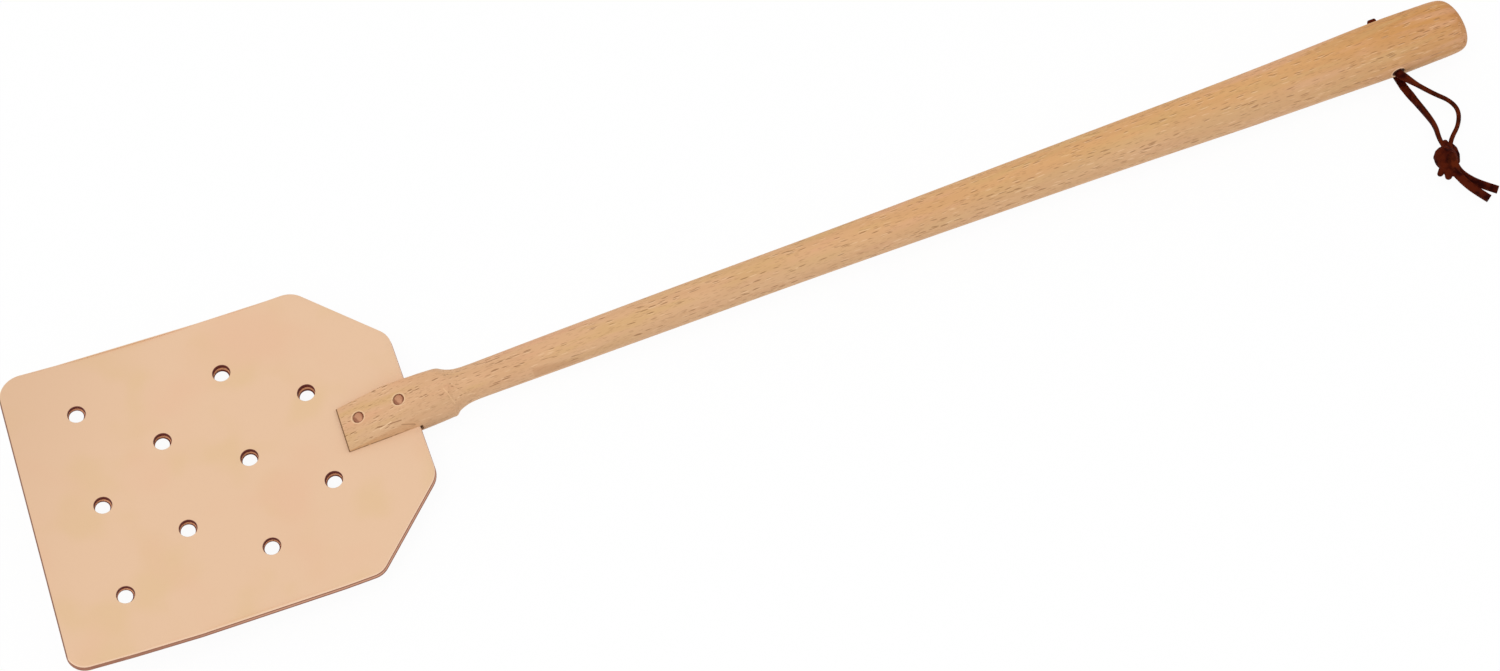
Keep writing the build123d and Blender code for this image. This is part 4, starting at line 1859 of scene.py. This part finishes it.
    @staticmethod
    def _widths(line: Sequence[Vector], facings: Sequence[Vector]) -> Iterator[Vector]:
        """The direction of the lace's width at each point of a line, square to the line.

        Args:
            line: The points.
            facings: Which way the width faces, at even shares of them.

        Yields:
            One direction for each point.
        """
        last = len(line) - 1
        for k, place in enumerate(np.linspace(0, len(facings) - 1, len(line))):
            low = min(int(place), max(len(facings) - 2, 0))
            facing = facings[low].lerp(facings[min(low + 1, len(facings) - 1)], place - low)
            along = (line[min(k + 1, last)] - line[max(k - 1, 0)]).normalized()
            yield (facing - along * facing.dot(along)).normalized()

    def _line_mesh(self, line: Sequence[Vector], facings: Sequence[Vector]) -> bpy.types.Mesh:
        """A mesh of a line whose points carry the direction of the lace's width."""
        mesh = plain_mesh("lace_line", line, [(k, k + 1) for k in range(len(line) - 1)])
        mark_points(mesh, "facing", list(self._widths(line, facings)))
        return mesh

    def _flat_lace(
        self, name: str, line: Sequence[Vector], facings: Sequence[Vector], finish: bpy.types.Material
    ) -> bpy.types.Object:
        """Flat lace with rounded edges, swept along a line.

        Args:
            name: Name of the piece.
            line: The points that it runs through.
            facings: Which way its width faces, at even shares of the line's points.
            finish: Its material.

        Returns:
            The piece.
        """
        sizes = {"Width": self.width, "Thickness": self.thickness, "Rounding": self.rounding}
        net = GeometryNet("flat_lace", sizes)
        curve = net.node("GeometryNodeMeshToCurve", None, {"Mesh": net.entry.output("Geometry")})
        turned = {"Curve": curve, "Normal": net.marked("facing")}
        curve = net.node("GeometryNodeSetCurveNormal", {"mode": "FREE"}, turned)
        width = net.size("Width")
        sides = {"Width": width, "Height": net.size("Thickness")}
        section = net.node("GeometryNodeCurvePrimitiveQuadrilateral", None, sides)
        rounded = {"Curve": section, "Radius": net.size("Rounding"), "Count": 3, "Limit Radius": True}
        section = net.node("GeometryNodeFilletCurve", {"mode": "POLY"}, rounded)
        x, _, _ = net.split(net.node("GeometryNodeInputPosition"))
        edge = net.calc("ABSOLUTE", x) / (width * 0.5)
        section = net.mark(section, "edge", net.vector(edge, 0.0, 0.0))
        sockets = {"Curve": curve, "Profile Curve": section, "Fill Caps": True}
        swept = net.node("GeometryNodeCurveToMesh", None, sockets)
        piece = net.make(name, self._line_mesh(line, facings), net.paint(swept, finish))
        close_up(piece, 45)
        return piece

    def _wrap_line(self, handle: Handle) -> list[Vector]:
        """From the near mouth through the grip, out of the far mouth, down and back under it."""
        radius = handle.grip_radius + self.clearance + self.thickness / 2
        near = -(handle.grip_radius + self.wrap_overhang)
        reach = self.mouth_reach
        through = [(0.0, y, -self.drop) for y in np.linspace(near, reach - 0.002, 6)]
        bend = [(-0.0003, reach, 0.0003), (-0.0003, reach, -0.0022)]
        turns = np.radians([-35, -50, -65, -80])
        under = [(0.0, radius * math.cos(turn), radius * math.sin(turn)) for turn in turns]
        back = [(0.0, y, -radius) for y in np.linspace(0, near, 4)]
        guide = through + bend + under + back
        first = len(through + bend)
        points = []
        for index, (x, y, z) in enumerate(guide):
            drift = self.wrap_drift * max(0.0, (index - first) / (len(guide) - 1 - first))
            points.append((handle.hole_x + x + drift, y, handle.axis_z + z))
        return self._route_line("lace_wrap_guide", points)

    def _beads(self, chain: Sequence[Bead]) -> Iterator[tuple[Vector, Vector]]:
        """The beads along a chain, close enough to melt into a smooth shape."""
        ends = [(Vector(centre), Vector(radii)) for centre, radii in chain]
        yield ends[0]
        for (start, thin), (end, thick) in zip(ends, ends[1:]):
            count = math.ceil((end - start).length / self.bead_step)
            for step in range(1, count + 1):
                yield start.lerp(end, step / count), thin.lerp(thick, step / count)

    def _knot(self, origin: Vector, finish: bpy.types.Material) -> bpy.types.Object:
        """The tied knot, as one smooth lump with its folds.

        Args:
            origin: The place that the beads are measured from.
            finish: The lace's material.

        Returns:
            The piece.
        """
        edit = bmesh.new()
        for chain in self.knot_chains:
            for centre, radii in self._beads(chain):
                place = Matrix.Translation(origin + centre * MM) @ Matrix.Diagonal((*(radii * MM), 1.0))
                bmesh.ops.create_icosphere(edit, subdivisions=3, radius=1.0, matrix=place)
        beads = bpy.data.meshes.new("lace_tied_knot")
        edit.to_mesh(beads)
        edit.free()
        piece = new_object("lace_tied_knot", beads)
        melt = piece.modifiers.new("melt", "REMESH")
        melt.mode = "VOXEL"
        melt.voxel_size = self.knot_voxel
        smooth = piece.modifiers.new("smooth", "SMOOTH")
        smooth.factor, smooth.iterations = 0.5, self.knot_smoothing
        apply_modifiers(piece)
        piece.data.materials.append(finish)
        # Painted highlight on the knot's lower right, carried by the edge attribute.
        gaps = (np.array([v.co for v in piece.data.vertices]) - np.array(origin)) / MM
        gaps = np.hypot(gaps[:, 0] - self.knot_highlight[0], gaps[:, 1] - self.knot_highlight[1])
        worn = self.knot_highlight_least + (1 - self.knot_highlight_least) * ease(gaps, *self.knot_highlight_reach)
        mark_points(piece.data, "edge", np.repeat(worn, 3))
        close_up(piece, 60)
        return piece

    def build(self, handle: Handle, finish: bpy.types.Material) -> list[bpy.types.Object]:
        """Makes the wrap, the knot and the two free laces.

        Args:
            handle: Where the lace hole is.
            finish: The lace's material.

        Returns:
            The four pieces.
        """
        wrap = self._flat_lace("lace_round_grip", self._wrap_line(handle), [Vector((1, 0, 0))], finish)
        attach(wrap, "grip")
        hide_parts("lace_wrap")
        origin = Vector((handle.hole_x, -(handle.grip_radius + self.turn_out), 0.0))
        knot = self._knot(origin, finish)
        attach(knot, "loop")
        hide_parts("lace_knot")
        made = [wrap, knot]
        for route in self.routes:
            places = [tuple(origin + Vector(p)) for p in route.points]
            line = self._route_line(route.name, places)
            lace = self._flat_lace(route.name, line, [Vector(f) for f in route.facings], finish)
            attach(lace, "loop")
            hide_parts(*route.replaces)
            made.append(lace)
            run = sum((b - a).length for a, b in zip(line, line[1:]))
            log.info("%s is %.1f mm long", route.name, run / MM)
        return made


# ---- Studio ------------------------------------------------------------------


@dataclass
class Studio:
    """A white table under soft light, and the camera."""

    camera_place: Point3 = (-0.05090, -0.46480, 0.89754)
    azimuth: float = -5.40
    elevation: float = 63.13
    roll: float = -15.22
    focal_pixels: float = 3402.0
    sensor: float = 36.0
    floor_size: float = 12.0
    sky: float = 0.78
    key_power: float = 12.3
    key_size: float = 1.3
    key_place: Point3 = (-0.45, -0.40, 2.12)
    paper: Colour = srgb(250, 250, 250)
    paper_white: float = 0.95

    def camera(self) -> None:
        """Places the camera by its azimuth, elevation and roll."""
        turn, rise, roll = (math.radians(a) for a in (self.azimuth, self.elevation, self.roll))
        back = Vector((math.sin(turn) * math.cos(rise), -math.cos(turn) * math.cos(rise), math.sin(rise)))
        level = Vector((math.cos(turn), math.sin(turn), 0.0))
        right = level * math.cos(roll) + back.cross(level) * math.sin(roll)
        data = bpy.data.cameras.new("camera")
        data.sensor_fit = "HORIZONTAL"
        data.sensor_width = self.sensor
        data.lens = self.focal_pixels * self.sensor / IMAGE_WIDTH
        data.clip_start, data.clip_end = 0.01, 50.0
        eye = new_object("camera", data)
        axes = Matrix((right, back.cross(right), back)).transposed().to_4x4()
        eye.matrix_world = Matrix.Translation(self.camera_place) @ axes
        bpy.context.scene.camera = eye

    def floor(self) -> None:
        """The table: white where it is seen, reflected or seen through, with the swatter's soft shadow."""
        net = ShaderNet("paper")
        share = self._seen(net) * self.paper_white
        diffuse = net.node("ShaderNodeBsdfDiffuse", None, {"Color": self.paper})
        white = net.node("ShaderNodeEmission", None, {"Color": WHITE, "Strength": 1.0})
        material = net.output(net.node("ShaderNodeMixShader", None, {0: share, 1: diffuse, 2: white}))
        half = self.floor_size / 2
        corners = [(-half, -half, 0), (half, -half, 0), (half, half, 0), (-half, half, 0)]
        table = new_object("table", plain_mesh("table", corners, (), [(0, 1, 2, 3)]))
        table.data.materials.append(material)

    @staticmethod
    def _seen(net: Net) -> Value:
        """1 for rays from the camera and for those reflected or let through, and 0 for the rest."""
        rays = net.node("ShaderNodeLightPath")
        either = net.calc("MAXIMUM", rays, rays.output("Is Glossy Ray"))
        return net.calc("MAXIMUM", either, rays.output("Is Transmission Ray"))

    def light(self) -> None:
        """An even sky and one large soft lamp on the near side."""
        world = bpy.data.worlds.new("sky")
        world.use_nodes = True
        world.node_tree.nodes.clear()
        net = Net(world.node_tree)
        strength = self.sky + self._seen(net) * (1.0 - self.sky)
        sky = net.node("ShaderNodeBackground", None, {"Color": WHITE, "Strength": strength})
        net.node("ShaderNodeOutputWorld", None, {"Surface": sky})
        bpy.context.scene.world = world
        data = bpy.data.lights.new("key", "AREA")
        data.shape = "DISK"
        data.size = self.key_size
        data.energy = self.key_power
        lamp = new_object("key", data)
        aim = Vector(self.key_place)
        lamp.matrix_world = Matrix.Translation(aim) @ aim.to_track_quat("Z", "Y").to_matrix().to_4x4()

    def build(self) -> None:
        """Sets up everything round the swatter."""
        self.camera()
        self.floor()
        self.light()
        bpy.context.scene.view_settings.view_transform = "Standard"


def main() -> None:
    """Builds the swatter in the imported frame."""
    logging.basicConfig(level=logging.INFO, format="%(message)s")
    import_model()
    Studio().build()
    handle = Handle()
    pieces = Lace().build(handle, DarkLace().material())
    pieces.append(handle.build(Beech().material(handle)))
    pieces.append(LeatherHead().build(handle, TannedLeather()))
    copper = Copper().material()
    for name, behind in zip(("rivet_front", "rivet_rear"), handle.rivet_places):
        pieces.append(Rivet(name, behind).build(handle, copper))
    for piece in pieces:
        log.info("%s: %d faces", piece.name, len(piece.data.polygons))


if __name__ == "__main__":
    main()
